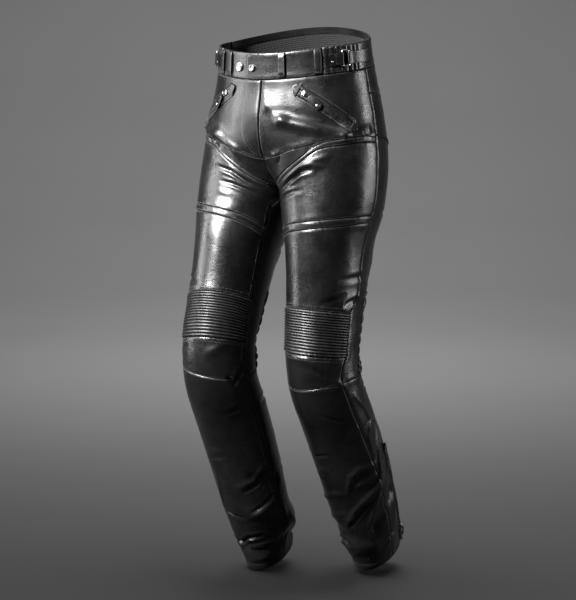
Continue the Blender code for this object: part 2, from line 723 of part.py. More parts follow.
def build_waistband(lattices):
    """The band's pieces, the lining inside its back, and the tab that laps over at the front."""
    rows = (ROW["waist_top"], ROW["waist"])
    lining_inset = 2
    for side, word in SIDES:
        lattice = lattices[side]
        cells = block_of((COLUMN["thigh"], SHIRR_TO, *rows))
        wall(f"waistband_shirred_{word}", lattice.points, lattice.normals, cells, BLACK_LEATHER,
             ribs=SHIRR_RIBS_A_CELL, rib_height=SHIRR_RIB, rib_across=True)
    right = lattices[RIGHT]
    wall("waistband_front_right", right.points, right.normals, block_of((0, COLUMN["thigh"], *rows)), BLACK_LEATHER)
    build_lapped_front(lattices)

    left = lattices[LEFT]
    span = slice(SHIRR_TO, COLUMN["back"] + 1)
    points = np.concatenate([left.points[span], right.points[span][-2::-1]])
    normals = np.concatenate([left.normals[span], right.normals[span][-2::-1]])
    count = len(points) - 1
    wall("waistband_back", points, normals, block_of((0, count, *rows)), BLACK_LEATHER)

    lining_rows = (ROW["waist_top"], ROW["waist"] + LINING_CELLS_BELOW)
    inside = points - normals * (WALL + REST_GAP)
    lining = block_of((lining_inset, count - lining_inset, *lining_rows))
    wall("waist_mesh_lining", inside, normals, lining, MESH_CLOTH, thickness=LINING_WALL)


def build_lapped_front(lattices):
    """The left front of the band, with the tab that laps over the right front and ends round.

    The tab's table holds shares round the wearer's right, and the share of the band's height at each.
    """
    tab = ((0.072, 0.52), (0.066, 0.80), (0.056, 0.95), (0.042, 1.0), (0.028, 1.0), (0.014, 1.0), (0.002, 1.0))
    crossing, lift = 0.010, 0.001
    left, right = lattices[LEFT], lattices[RIGHT]
    downs = left.v[0, ROW["waist_top"] : ROW["waist"] + 1]
    middle = (downs[0] + downs[-1]) / 2
    points, lifted = [], []
    for u, share in tab:
        places = [middle + (v - middle) * share for v in downs]
        points.append([right.at(u, v, TAB_HEIGHT) for v in places])
        lifted.append([right.at(u, v, TAB_HEIGHT + lift) for v in places])
    points.append([left.at(crossing, v, TAB_HEIGHT) for v in downs])
    lifted.append([left.at(crossing, v, TAB_HEIGHT + lift) for v in downs])
    for i in range(1, COLUMN["thigh"] + 1):
        points.append([left.points[i, j] for j in range(len(downs))])
        lifted.append([left.points[i, j] + left.normals[i, j] * lift for j in range(len(downs))])
    points = np.array(points)
    normals = (np.array(lifted) - points) / lift
    cells = block_of((0, len(points) - 1, 0, len(downs) - 1))
    wall("waistband_front_left", points, normals, cells, BLACK_LEATHER)


def build_panels(side, word, lattice):
    """The cut panels of one side, below the waistband."""
    points, normals = lattice.points, lattice.normals
    front, thigh, outer, zip_line, back = (COLUMN[rail.name] for rail in RAILS)
    yoke_low = ROW["waist"] + YOKE_CELLS
    stretch_top = ROW["accordion_top"] - 1
    plain = {
        "hip_front": [(front, outer, ROW["waist"], ROW["hip_low"]), (thigh, outer, ROW["hip_low"], ROW["band_top"])],
        "crotch_insert": [(front, thigh, ROW["hip_low"], ROW["band_top"])],
        "upper_thigh": [(front, outer, ROW["band_low"], ROW["thigh_band_top"])],
        "lower_thigh": [(front, outer, ROW["thigh_band_low"], ROW["accordion_top"])],
        "kneecap": [(front, outer, ROW["accordion_low"], ROW["kneecap_low"])],
        "shin": [(front, outer, ROW["kneecap_low"], ROW["hem"])],
        "back_yoke": [(outer, back, ROW["waist"], yoke_low)],
        "seat_back": [
            (outer, back, yoke_low, stretch_top),
            (outer, STRETCH_FROM, stretch_top, ROW["kneecap_low"]),
            (STRETCH_TO, back, stretch_top, ROW["kneecap_low"]),
        ],
        "calf_outer": [(outer, zip_line, ROW["kneecap_low"], ROW["hem"])],
        "calf": [(zip_line, back, ROW["kneecap_low"], ROW["hem"])],
    }
    for name, blocks in plain.items():
        wall(f"{name}_{word}", points, normals, block_of(*blocks), BLACK_LEATHER)
    bands = {
        "hip_band": (front, outer, ROW["band_top"], ROW["band_low"]),
        "thigh_band": (front, outer, ROW["thigh_band_top"], ROW["thigh_band_low"]),
    }
    for name, block in bands.items():
        wall(f"{name}_{word}", points, normals, block_of(block), BLACK_LEATHER, raise_by=BAND_RAISE)
    knee = block_of((front, outer, ROW["accordion_top"], ROW["accordion_low"]))
    wall(f"knee_accordion_{word}", points, normals, knee, STRETCH_LEATHER,
         ribs=KNEE_RIBS_A_CELL, rib_height=KNEE_RIB)
    behind = block_of((STRETCH_FROM, STRETCH_TO, stretch_top, ROW["kneecap_low"]))
    wall(f"back_knee_stretch_{word}", points, normals, behind, STRETCH_LEATHER,
         ribs=BACK_RIBS_A_CELL, rib_height=BACK_RIB)


def build_fly(lattices):
    """The placket's outer layer, on the wearer's right of centre front, ending in a curve at the seam."""
    width, straight, bend, thick = 0.034, 0.092, 0.048, 0.0012
    seam_side, top, narrowest = 0.0006, 0.0015, 0.004
    roundness = 2.2
    cells_across, cells_down = 6, 18
    spot = Spot(lattices[RIGHT], 0.0, 0.0)

    def lines(b):
        share = min(max(b - straight, 0.0) / bend, 1.0)
        reach = max(width * (1 - share**roundness) ** 0.5, narrowest)
        return even(seam_side, reach, cells_across)

    slab("fly_placket", spot, lines, even(top, straight + bend, cells_down), flat(REST_GAP), flat(REST_GAP + thick),
         BLACK_LEATHER)


def build_belt_loops(lattices):
    """Five loops, sewn at both ends and standing a little off the band between them."""
    loops = (("front_left", LEFT, 0.088), ("front_right", RIGHT, 0.172), ("side_left", LEFT, 0.236),
             ("side_right", RIGHT, 0.236), ("back", LEFT, 1.0))
    half_width, thick, stand_off = 0.0062, 0.0018, 0.0022
    top, foot, sewn_end = WAIST_TOP + 0.003, -0.002, 0.009
    cells_across, cells_down = 2, 10

    def low(a, b):
        inward = min(b - top, foot - b) / sewn_end
        return REST_GAP + stand_off * float(smooth(inward, 0.0, 1.0))

    def high(a, b):
        return low(a, b) + thick

    for name, side, u in loops:
        if name == "back":
            spot = BackSpot(lattices)
        else:
            spot = Spot(lattices[side], u, 0.0)
        slab(f"belt_loop_{name}", spot, across(half_width, cells_across), even(top, foot, cells_down), low, high,
             BLACK_LEATHER)


class BackSpot:
    """A frame at centre back, where a runs from the wearer's left across to the right."""

    def __init__(self, lattices):
        self.lattices = lattices
        self.left = Spot(lattices[LEFT], 0.99, 0.0)

    def at(self, a, b, height):
        """World point at (a, b) and a height above the cloth."""
        lattice = self.lattices[LEFT if a <= 0 else RIGHT]
        return lattice.at(1.0 - abs(a) / self.left.u_length, b, height)


def strap_outline(bar, bar_height, bar_radius, thick, sewn, fold_end, base):
    """Side outline of a strap that comes from its sewn end, goes round a bar and lies back on itself."""
    way = 1.0 if sewn > bar else -1.0
    inner = bar_radius + BAR_GAP
    outer = inner + thick
    turn = even(pi / 2, -pi / 2, 6)
    outside = [(bar - way * outer * cos(t), bar_height - outer * sin(t)) for t in turn]
    inside = [(bar - way * inner * cos(t), bar_height - inner * sin(t)) for t in turn]
    mouth = 0.005
    outline = [(sewn, base)]
    outline += [(bar + way * mouth, base)] + outside
    outline += [(fold_end, base + 2 * thick + SEAM_GAP), (fold_end, base + thick + SEAM_GAP)]
    outline += inside[::-1]
    outline += [(bar + way * mouth, base + thick), (sewn, base + thick)]
    return outline


def build_adjusters(side, word, lattice):
    """A leather anchor, a rectangular metal ring and the strap folded through it, at each side of the band."""
    ring_a, ring_b, wire, corner, corner_steps = 0.0125, 0.0270, 0.0012, 0.003, 2
    thick, strap_half_width = 0.0013, 0.0105
    anchor_sewn, anchor_fold = -0.0270, -0.0180
    strap_sewn, strap_fold = 0.0600, 0.0520
    base = REST_GAP + SHIRR_RIB
    bar_height = base + thick + BAR_GAP + wire
    spot = Spot(lattice, 0.362, -0.0225)
    strap_b = even(-strap_half_width, strap_half_width, 3)
    folded_strap(f"adjuster_anchor_{word}", spot,
                 strap_outline(-ring_a / 2, bar_height, wire, thick, anchor_sewn, anchor_fold, base), strap_b,
                 BLACK_LEATHER)
    folded_strap(f"adjuster_strap_{word}", spot,
                 strap_outline(ring_a / 2, bar_height, wire, thick, strap_sewn, strap_fold, base), strap_b,
                 BLACK_LEATHER)

    curve = bpy.data.curves.new(f"adjuster_ring_{word}", "CURVE")
    curve.dimensions = "3D"
    curve.bevel_depth = wire
    curve.bevel_resolution = 1
    corners = [(ring_b / 2, ring_a / 2, 0), (-ring_b / 2, ring_a / 2, 90), (-ring_b / 2, -ring_a / 2, 180),
               (ring_b / 2, -ring_a / 2, 270)]
    path = []
    for x, y, start in corners:
        middle = (x - corner * np.sign(x), y - corner * np.sign(y))
        for turn in even(radians(start), radians(start + 90), corner_steps):
            path.append((middle[0] + corner * cos(turn), middle[1] + corner * sin(turn), 0.0, 1.0))
    line = curve.splines.new("POLY")
    line.points.add(len(path) - 1)
    for point, place in zip(line.points, path):
        point.co = place
    line.use_cyclic_u = True
    helper = bpy.data.objects.new("helper", curve)
    bpy.data.collections["helpers"].objects.link(helper)
    bpy.context.view_layer.update()
    mesh = bpy.data.meshes.new_from_object(helper.evaluated_get(bpy.context.evaluated_depsgraph_get()))
    bpy.data.objects.remove(helper)
    ring = add_object(f"adjuster_ring_{word}", mesh, DARK_METAL)
    ring.matrix_world = spot.frame(height=bar_height)


def build_snaps(lattices):
    """The snap on the lapped tab and the one on the right front beside it."""
    down, height, edge_round = -0.0205, 0.0030, 0.0009
    for name, u, radius, base in (
        ("waist_snap_tab", 0.040, 0.0062, TAB_HEIGHT + REST_GAP),
        ("waist_snap_front", 0.112, 0.0085, REST_GAP),
    ):
        spot = Spot(lattices[RIGHT], u, down)
        cap = rod_at(radius, height, (0, 0, height / 2), segments=20)
        rounding = cap.modifiers.new("round edge", "BEVEL")
        rounding.width = edge_round
        rounding.segments = 2
        rounding.limit_method = "ANGLE"
        joined(name, [cap], DARK_METAL, spot.frame(height=base))


def zip_tape(name, spot, length, steps):
    """A woven tape with the raised chain along its middle, as one solid, from the spot down along b."""
    half, chain, step = TAPE_WIDTH / 2, CHAIN_WIDTH / 2, 0.0004
    places = [-half, -chain - step, -chain, 0.0, chain, chain + step, half]

    def high(a, b):
        return REST_GAP + TAPE_THICK + (CHAIN_THICK if abs(a) <= chain else 0.0)

    slab(name, spot, lambda b: places, even(0.0, length, steps), flat(REST_GAP), high, ZIP_CLOTH)


def build_slider_and_pull(kind, side, word, matrix, sizes):
    """The slider with its ears and pin, and the pull that hinges on the pin. X runs down the zip."""
    body_z = sizes.body[2]
    ear_x, ear_y, ear_z = sizes.ear
    root = 0.001
    pin_height = body_z + ear_z - PIN_UNDER_TOP * sizes.pin_radius
    pin_length = 2 * sizes.ear_spread + PIN_IN_EARS * ear_y
    across_y = Matrix.Rotation(pi / 2, 4, "X")
    pieces = [box_at(sizes.body, (0, 0, body_z / 2))]
    for way in (-1, 1):
        pieces.append(box_at((ear_x, ear_y, ear_z + root), (0, way * sizes.ear_spread, body_z + (ear_z - root) / 2)))
    pieces.append(rod_at(sizes.pin_radius, pin_length, (0, 0, pin_height), across_y))
    joined(f"{kind}_slider_{word}", pieces, DARK_METAL, matrix)

    link_x, link_y, link_z = sizes.link
    tab_x, tab_y, tab_z = sizes.tab
    inner = sizes.pin_radius + SEAM_GAP
    hook = link_outline(inner, inner + HOOK_SHARE * link_z, link_x, link_z)
    tab_start = Vector((link_x - LINK_IN_TAB, 0, 0))
    turn = sizes.tab_turn * side
    tab = rounded_tab(sizes.tab, tab_start, turn)
    rivet_in = Vector((tab_x - RIVET_FROM_END * tab_y, 0, 0))
    rivet_place = tab_start + Matrix.Rotation(radians(turn), 3, "Z") @ rivet_in
    rivet = rod_at(RIVET_SHARE * tab_y, tab_z + 2 * RIVET_PROUD, rivet_place, segments=12)
    joined(f"{kind}_pull_{word}", [side_outline(hook, link_y), tab, rivet], BLACK_LEATHER,
           matrix @ Matrix.Translation((0, 0, pin_height)) @ Matrix.Rotation(radians(sizes.droop), 4, "Y"))


def link_outline(inner, outer, length, thick):
    """Side outline of a link whose end is hooked round a pin at (0, 0), open a little underneath."""
    first = radians(30)
    turns = even(first, radians(300), 10)
    around = [(outer * cos(t), outer * sin(t)) for t in turns]
    back = [(inner * cos(t), inner * sin(t)) for t in turns[::-1]]
    top = outer * sin(first)
    return [(length, top)] + around + back + [(length, top - thick)]


def build_zips(side, word, lattice):
    """The slanted hand pocket and the zip up the back of the calf, each with its slider and pull."""
    start = Spot(lattice, POCKET_ZIP.u0, POCKET_ZIP.v0)
    along = (POCKET_ZIP.u1 - POCKET_ZIP.u0) * start.u_length
    down = POCKET_ZIP.v1 - POCKET_ZIP.v0
    length = float(np.hypot(along, down))
    slant = -np.degrees(np.arctan2(along, down))
    spot = Spot(lattice, POCKET_ZIP.u0, POCKET_ZIP.v0, slant)
    zip_tape(f"pocket_zip_{word}", spot, length, ZIP_CELLS)
    top = REST_GAP + TAPE_THICK + CHAIN_THICK + SEAM_GAP
    build_slider_and_pull("pocket", side, word, spot.frame(b=length * POCKET_SLIDER_SHARE, height=top), POCKET_PULL)

    first, last = CALF_ZIP
    spot = Spot(lattice, CALF_ZIP_U, first)
    length = (last - first) * spot.v_length
    zip_tape(f"calf_zip_{word}", spot, length, ZIP_CELLS)
    build_slider_and_pull("calf", side, word, spot.frame(b=length * CALF_SLIDER_SHARE, height=top), CALF_PULL)


def main():
    """Clears the scene and builds the garment."""
    for old in list(bpy.data.objects):
        bpy.data.objects.remove(old)
    for name in ("motorcycle trousers", "helpers"):
        bpy.context.scene.collection.children.link(bpy.data.collections.new(name))
    lattices = {side: Lattice(side) for side, _ in SIDES}
    build_waistband(lattices)
    build_belt_loops(lattices)
    build_fly(lattices)
    build_snaps(lattices)
    for side, word in SIDES:
        build_panels(side, word, lattices[side])
        build_adjusters(side, word, lattices[side])
        build_zips(side, word, lattices[side])


main()
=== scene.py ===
"""The looks of a pair of black leather motorcycle trousers, worn and striding.

Metres, +Z up, in the same frame as the solids: the front faces -Y, the wearer's left is +X, and the origin is the
middle of the waist. A place on the cloth is (side, u, v): u runs from 0 at centre front round the side (0.5) to 1 at
centre back, and v is the distance below the waist seam. Below the crotch u goes once round the leg from its inner
side. Every cut panel is a fine thin shell of its own on the form of its solid, with rolled seam edges, sewing,
creases listed one by one, ribs, and procedural leather.
"""

import json
import logging
from collections.abc import Callable
from dataclasses import dataclass, field
from enum import Enum
from math import cos, pi, radians, sin
from typing import NamedTuple

import bmesh
import bpy
import numpy as np
from mathutils import Matrix, Vector
from mathutils.bvhtree import BVHTree
from mathutils.kdtree import KDTree

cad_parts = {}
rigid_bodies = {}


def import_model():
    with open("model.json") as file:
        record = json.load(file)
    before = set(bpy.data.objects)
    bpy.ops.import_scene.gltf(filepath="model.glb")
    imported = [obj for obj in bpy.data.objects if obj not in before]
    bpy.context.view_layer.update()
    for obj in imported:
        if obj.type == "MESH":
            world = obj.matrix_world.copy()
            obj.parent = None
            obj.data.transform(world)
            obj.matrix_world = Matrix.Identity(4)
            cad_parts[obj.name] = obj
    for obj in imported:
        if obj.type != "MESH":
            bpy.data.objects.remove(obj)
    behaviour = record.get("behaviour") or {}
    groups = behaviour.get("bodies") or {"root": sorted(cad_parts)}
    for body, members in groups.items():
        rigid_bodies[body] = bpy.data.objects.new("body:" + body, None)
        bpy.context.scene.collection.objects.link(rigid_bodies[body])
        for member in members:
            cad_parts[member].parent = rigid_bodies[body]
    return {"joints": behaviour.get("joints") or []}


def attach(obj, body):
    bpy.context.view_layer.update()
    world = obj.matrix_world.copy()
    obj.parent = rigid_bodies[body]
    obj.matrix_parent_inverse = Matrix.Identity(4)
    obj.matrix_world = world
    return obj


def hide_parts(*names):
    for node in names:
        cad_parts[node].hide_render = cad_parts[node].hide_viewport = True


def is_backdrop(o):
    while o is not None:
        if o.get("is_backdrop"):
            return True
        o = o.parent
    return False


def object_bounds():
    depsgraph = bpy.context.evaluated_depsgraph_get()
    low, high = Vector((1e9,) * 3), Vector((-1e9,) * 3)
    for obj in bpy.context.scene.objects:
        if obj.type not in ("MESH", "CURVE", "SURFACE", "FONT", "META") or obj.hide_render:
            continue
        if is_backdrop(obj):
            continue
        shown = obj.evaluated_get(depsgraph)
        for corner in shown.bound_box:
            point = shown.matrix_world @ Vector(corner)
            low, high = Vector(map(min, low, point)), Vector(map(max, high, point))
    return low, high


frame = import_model()

LOG = logging.getLogger("trousers")
Array = np.ndarray
Place = tuple[float, float, float]

TRUNK_BODY = "trousers"


class Side(Enum):
    """The wearer's two sides, with the sign of X on each."""

    LEFT = 1
    RIGHT = -1

    @property
    def word(self) -> str:
        """The side's name as the solids spell it."""
        return self.name.lower()


class Line(Enum):
    """Lines down the garment, with the lattice column of each."""

    FRONT = 0
    THIGH = 4
    SIDE = 8
    CALF_ZIP = 11
    BACK = 20


class Row(Enum):
    """Seams across the garment, with the lattice row of each."""

    WAIST_TOP = 0
    WAIST = 2
    YOKE_LOW = 5
    HIP_LOW = 10
    BAND_TOP = 11
    BAND_LOW = 12
    THIGH_BAND_TOP = 15
    THIGH_BAND_LOW = 16
    STRETCH_TOP = 19
    ACCORDION_TOP = 20
    ACCORDION_LOW = 24
    KNEECAP_LOW = 27
    HEM = 42


WAIST_TOP = -0.046
CROTCH = 0.212
HEM = 0.941
INNER_SEAM = 0.055
BESIDE_SEAM = (0.0009, 0.0018, 0.0030, 0.0048)
METAL_SHARP = 35.0
SHIRR_TO = Line.SIDE.value - 1
STRETCH_FROM, STRETCH_TO = Line.SIDE.value + 2, Line.BACK.value - 2


class Section(NamedTuple):
    """Half width and depths of a section, at a distance below the waist seam."""

    down: float
    half_width: float
    front: float
    back: float


class Stance(NamedTuple):
    """How one leg stands: angles in degrees, and the share of its length left below the knee."""

    thigh_forward: float
    shin_back: float
    thigh_out: float
    shin_out: float
    toe_out: float
    shin_length: float


class RowSeam(NamedTuple):
    """A seam across the leg: its lattice row, and its distances down at the stations round the leg."""

    row: Row
    down: tuple[float, ...]


class Rail(NamedTuple):
    """A line down the cloth: its lattice column, and shares round the cloth at distances down."""

    line: Line
    places: tuple[tuple[float, float], ...]


def smooth(x: Array | float, low: float, high: float) -> Array:
    """0 below low, 1 above high, with an even S between them."""
    share = np.clip((x - low) / (high - low), 0.0, 1.0)
    return share * share * (3 - 2 * share)


def even(first: float, last: float, count: int) -> list[float]:
    """count + 1 places, evenly spaced."""
    return [first + (last - first) * k / count for k in range(count + 1)]


def through(places: Array, values: Array, at: Array) -> Array:
    """A smooth curve through values at places, read at other places.

    Args:
        places: Rising places of the known values.
        values: The value at each place.
        at: Where to read the curve.

    Returns:
        The curve's value at each of the asked places.
    """
    places = np.asarray(places, float)
    values = np.asarray(values, float)
    slopes = np.gradient(values, places)
    at = np.clip(at, places[0], places[-1])
    i = np.clip(np.searchsorted(places, at) - 1, 0, len(places) - 2)
    step = places[i + 1] - places[i]
    t = (at - places[i]) / step
    from_values = (2 * t**3 - 3 * t**2 + 1) * values[i] + (3 * t**2 - 2 * t**3) * values[i + 1]
    from_slopes = (t**3 - 2 * t**2 + t) * slopes[i] + (t**3 - t**2) * slopes[i + 1]
    return from_values + step * from_slopes


def unit(vectors: Array) -> Array:
    """The vectors at length one."""
    return vectors / np.maximum(np.linalg.norm(vectors, axis=-1, keepdims=True), 1e-12)


@dataclass
class BodyForm:
    """The filled form of the garment: the trunk's and the legs' sections, and how each leg stands."""

    torso: tuple[Section, ...] = (
        Section(-0.046, 0.1450, 0.0965, 0.1010),
        Section(0.000, 0.1500, 0.0965, 0.1130),
        Section(0.080, 0.1665, 0.1070, 0.1330),
        Section(0.150, 0.1775, 0.1125, 0.1420),
        Section(0.220, 0.1820, 0.1080, 0.1310),
        Section(0.340, 0.1720, 0.1000, 0.1100),
    )
    leg: tuple[Section, ...] = (
        Section(0.000, 0.0870, 0.0950, 0.1100),
        Section(0.120, 0.0870, 0.0950, 0.1100),
        Section(0.212, 0.0878, 0.0930, 0.1080),
        Section(0.320, 0.0710, 0.0820, 0.0940),
        Section(0.400, 0.0665, 0.0750, 0.0740),
        Section(0.490, 0.0650, 0.0710, 0.0480),
        Section(0.555, 0.0660, 0.0610, 0.0590),
        Section(0.640, 0.0670, 0.0490, 0.0680),
        Section(0.740, 0.0650, 0.0475, 0.0650),
        Section(0.860, 0.0575, 0.0540, 0.0560),
        Section(0.941, 0.0405, 0.0590, 0.0610),
    )
    stances: dict[Side, Stance] = field(default_factory=lambda: {
        Side.LEFT: Stance(4.5, 27.8, -0.6, 1.8, 4.3, 0.97),
        Side.RIGHT: Stance(17.6, 24.8, 1.6, -2.4, -8.7, 1.0),
    })
    hip_pivot: Place = (0.088, -0.0105, 0.0)
    hip_turn: tuple[float, float] = (0.06, 0.30)
    knee_turn: tuple[float, float] = (0.45, 0.61)
    toe_turn: tuple[float, float] = (0.08, 0.42)
    blend_from: float = 0.050
    blend_to: float = 0.320
    outer_blend_from: float = 0.060
    division_share: float = 0.11
    division_round: float = 2.4
    division_flat: float = 0.6
    division_fade: float = 0.06
    back_rise: float = 0.030
    back_rise_from: float = 0.4
    front_dip: float = 0.018
    front_dip_to: float = 0.5
    tilt_fade: tuple[float, float] = (-0.02, 0.16)
    spine_step: float = 0.002

    def __post_init__(self) -> None:
        """Works out the middle line of each leg."""
        self.down = np.arange(0.0, HEM + self.spine_step, self.spine_step)
        self.spines = {side: self._spine(stance) for side, stance in self.stances.items()}

    def _spine(self, stance: Stance) -> tuple[Array, Array, Array, Array]:
        """The middle points and turns of one leg, from the waist seam down."""
        hip = smooth(self.down, *self.hip_turn)
        knee = smooth(self.down, *self.knee_turn)
        pitch = np.radians(stance.thigh_forward * hip - (stance.thigh_forward + stance.shin_back) * knee)
        spread = np.radians(stance.thigh_out * hip + (stance.shin_out - stance.thigh_out) * knee)
        toe = np.radians(stance.toe_out) * smooth(self.down, *self.toe_turn)
        ahead = np.stack([np.sin(spread) * np.cos(pitch), -np.sin(pitch), -np.cos(spread) * np.cos(pitch)], -1)
        x, y = ahead[:, 0].copy(), ahead[:, 1].copy()
        ahead[:, 0] = x * np.cos(toe) - y * np.sin(toe)
        ahead[:, 1] = x * np.sin(toe) + y * np.cos(toe)
        step = self.spine_step * (1 - (1 - stance.shin_length) * knee)[:, None]
        middle = np.cumsum(ahead * step, 0) - ahead[:1] * self.spine_step + np.array(self.hip_pivot)
        return middle, pitch, spread, toe

    @staticmethod
    def _size(table: tuple[Section, ...], column: str, down: Array) -> Array:
        """One column of a table of sections, read at distances down."""
        return through([row.down for row in table], [getattr(row, column) for row in table], down)

    def _torso_ring(self, u: Array, v: Array) -> Array:
        """Points on the trunk, for the wearer's left half."""
        angle = pi * u
        depth = np.where(np.cos(angle) > 0, self._size(self.torso, "front", v), self._size(self.torso, "back", v))
        rise = self.back_rise * smooth(u, self.back_rise_from, 1.0)
        rise = rise - self.front_dip * smooth(1 - u, 1 - self.front_dip_to, 1.0)
        rise = rise * (1 - smooth(v, *self.tilt_fade))
        width = self._size(self.torso, "half_width", v)
        return np.stack([width * np.sin(angle), -depth * np.cos(angle), rise - v], -1)

    def _leg_ring(self, side: Side, u: Array, v: Array) -> Array:
        """Points on one leg, as if it were the left one."""
        down = np.clip(v, 0.0, None)
        line, *turns = self.spines[side]
        middle = np.stack([np.interp(down, self.down, line[:, k]) for k in range(3)], -1)
        pitch, spread, toe = (np.interp(down, self.down, values) for values in turns)
        angle = 2 * pi * u
        across = -self._size(self.leg, "half_width", v) * np.cos(angle)
        depth = np.where(np.sin(angle) > 0, self._size(self.leg, "front", v), self._size(self.leg, "back", v))
        along = -depth * np.sin(angle)
        x, y = across * np.cos(spread), along * np.cos(pitch)
        z = across * np.sin(spread) - along * np.sin(pitch)
        turned = np.stack([x * np.cos(toe) - y * np.sin(toe), x * np.sin(toe) + y * np.cos(toe), z], -1)
        turned[..., 2] += np.where(v < 0, -v, 0.0)
        return middle + turned

    def points(self, side: Side, u: Array, v: Array) -> Array:
        """Points on the cloth before it creases.

        Args:
            side: The wearer's side.
            u: Shares round the cloth.
            v: Distances below the waist seam.

        Returns:
            An array of places, with the shape of u and v and a last axis of three.
        """
        u, v = np.broadcast_arrays(np.asarray(u, float), np.asarray(v, float))
        round_leg = np.where(u > 1, u - 1, u)
        near = np.exp(-((np.minimum(round_leg, 1 - round_leg) / self.division_share) ** 2))
        share = np.clip((v - self.blend_from) / (CROTCH - self.blend_from), 0, 1)
        edge = 1 - np.clip(1 - share**self.division_round, 0, 1) ** self.division_flat
        weight = near * edge + (1 - near) * smooth(v, self.outer_blend_from, self.blend_to)
        leg = self._leg_ring(side, round_leg, v)
        inner = self._leg_ring(side, np.zeros_like(v), np.minimum(v, CROTCH))[..., 0]
        leg[..., 0] -= inner * near * (1 - smooth(v, CROTCH, CROTCH + self.division_fade))
        points = self._torso_ring(round_leg, v) * (1 - weight[..., None]) + leg * weight[..., None]
        points[..., 0] *= side.value
        return points


class SeamMap:
    """Turns lattice places, (column, row) with fractions, into places on the cloth, (u, v)."""

    stations = (0.00, 0.06, 0.12, 0.17, 0.22, 0.33, 0.50, 0.75, 1.00)
    row_seams = (
        RowSeam(Row.WAIST_TOP, (WAIST_TOP,) * 9),
        RowSeam(Row.WAIST, (0.0,) * 9),
        RowSeam(Row.HIP_LOW, (0.152, 0.146, 0.137, 0.130, 0.123, 0.112, 0.109, 0.140, 0.185)),
        RowSeam(Row.BAND_TOP, (0.200, 0.188, 0.168, 0.149, 0.128, 0.116, 0.113, 0.146, 0.198)),
        RowSeam(Row.BAND_LOW, (0.212, 0.199, 0.178, 0.159, 0.138, 0.126, 0.123, 0.156, 0.212)),
        RowSeam(Row.THIGH_BAND_TOP, (0.288, 0.285, 0.275, 0.268, 0.264, 0.256, 0.248, 0.262, 0.286)),
        RowSeam(Row.THIGH_BAND_LOW, (0.300, 0.297, 0.289, 0.282, 0.278, 0.270, 0.260, 0.274, 0.298)),
        RowSeam(Row.ACCORDION_TOP, (0.416, 0.415, 0.413, 0.412, 0.412, 0.414, 0.418, 0.418, 0.416)),
        RowSeam(Row.ACCORDION_LOW, (0.488, 0.487, 0.486, 0.486, 0.486, 0.488, 0.492, 0.490, 0.488)),
        RowSeam(Row.KNEECAP_LOW, (0.540, 0.540, 0.540, 0.539, 0.537, 0.532, 0.530, 0.535, 0.540)),
        RowSeam(Row.HEM, (HEM,) * 9),
    )
    rails = (
        Rail(Line.FRONT, ((WAIST_TOP, 0.0), (CROTCH, 0.0), (0.245, INNER_SEAM), (HEM, INNER_SEAM))),
        Rail(Line.THIGH, ((WAIST_TOP, 0.255), (0.0, 0.255), (0.12, 0.22), (0.20, 0.22), (0.30, 0.25), (HEM, 0.25))),
        Rail(Line.SIDE, ((WAIST_TOP, 0.50), (0.38, 0.49), (0.415, 0.45), (0.488, 0.44), (0.52, 0.405), (0.56, 0.42),
                         (0.65, 0.43), (0.74, 0.45), (HEM, 0.46))),
        Rail(Line.CALF_ZIP, ((WAIST_TOP, 0.585), (HEM, 0.585))),
        Rail(Line.BACK, ((WAIST_TOP, 1.0), (CROTCH, 1.0), (0.245, 1.0 + INNER_SEAM), (HEM, 1.0 + INNER_SEAM))),
    )
    settling_rounds = 12

    def places(self, column: Array, row: Array) -> tuple[Array, Array]:
        """The shares round and distances down of lattice places.

        Args:
            column: Lattice columns, with fractions.
            row: Lattice rows, with fractions.

        Returns:
            u and v at each place. Columns depend on rows and rows on columns, so they are found in rounds.
        """
        u = column / Line.BACK.value
        v = np.zeros_like(u)
        for _ in range(self.settling_rounds):
            folded = np.where(u > 1, u - 1, u)
            downs = [through(self.stations, seam.down, folded) for seam in self.row_seams]
            v = self._between(downs, [seam.row.value for seam in self.row_seams], row)
            rounds = [np.interp(v, *zip(*rail.places)) for rail in self.rails]
            u = self._between(rounds, [rail.line.value for rail in self.rails], column)
        return u, v

    @staticmethod
    def _between(lines: list[Array], starts: list[int], index: Array) -> Array:
        """Values between lines, at indices that run from one line's start to the next one's."""
        value = lines[0].copy()
        for k in range(len(lines) - 1):
            share = np.clip((index - starts[k]) / (starts[k + 1] - starts[k]), 0, 1)
            value = np.where(index >= starts[k], lines[k] + share * (lines[k + 1] - lines[k]), value)
        return value


class CreaseForm(Enum):
    """How a crease looks across: one soft swell, or a sharp valley with a swell along each side."""

    SOFT = "soft"
    SHARP = "sharp"


class Crease(NamedTuple):
    """A crease along a line of places on the cloth: a ridge where the height is positive, or a trough."""

    line: tuple[tuple[float, float], ...]
    half_width: float
    height: float
    form: CreaseForm = CreaseForm.SOFT
    taper: float = 0.0


SOFT, SHARP = CreaseForm.SOFT, CreaseForm.SHARP

# The largest creases, which the solids have too
BOTH_LEGS = (
    Crease(((0.62, 0.285), (0.90, 0.262)), 0.016, -0.0035),
    Crease(((0.60, 0.330), (0.88, 0.318)), 0.016, 0.0020),
    Crease(((0.60, 0.480), (0.92, 0.476)), 0.014, -0.0050),
    Crease(((0.60, 0.515), (0.92, 0.512)), 0.014, 0.0030),
)
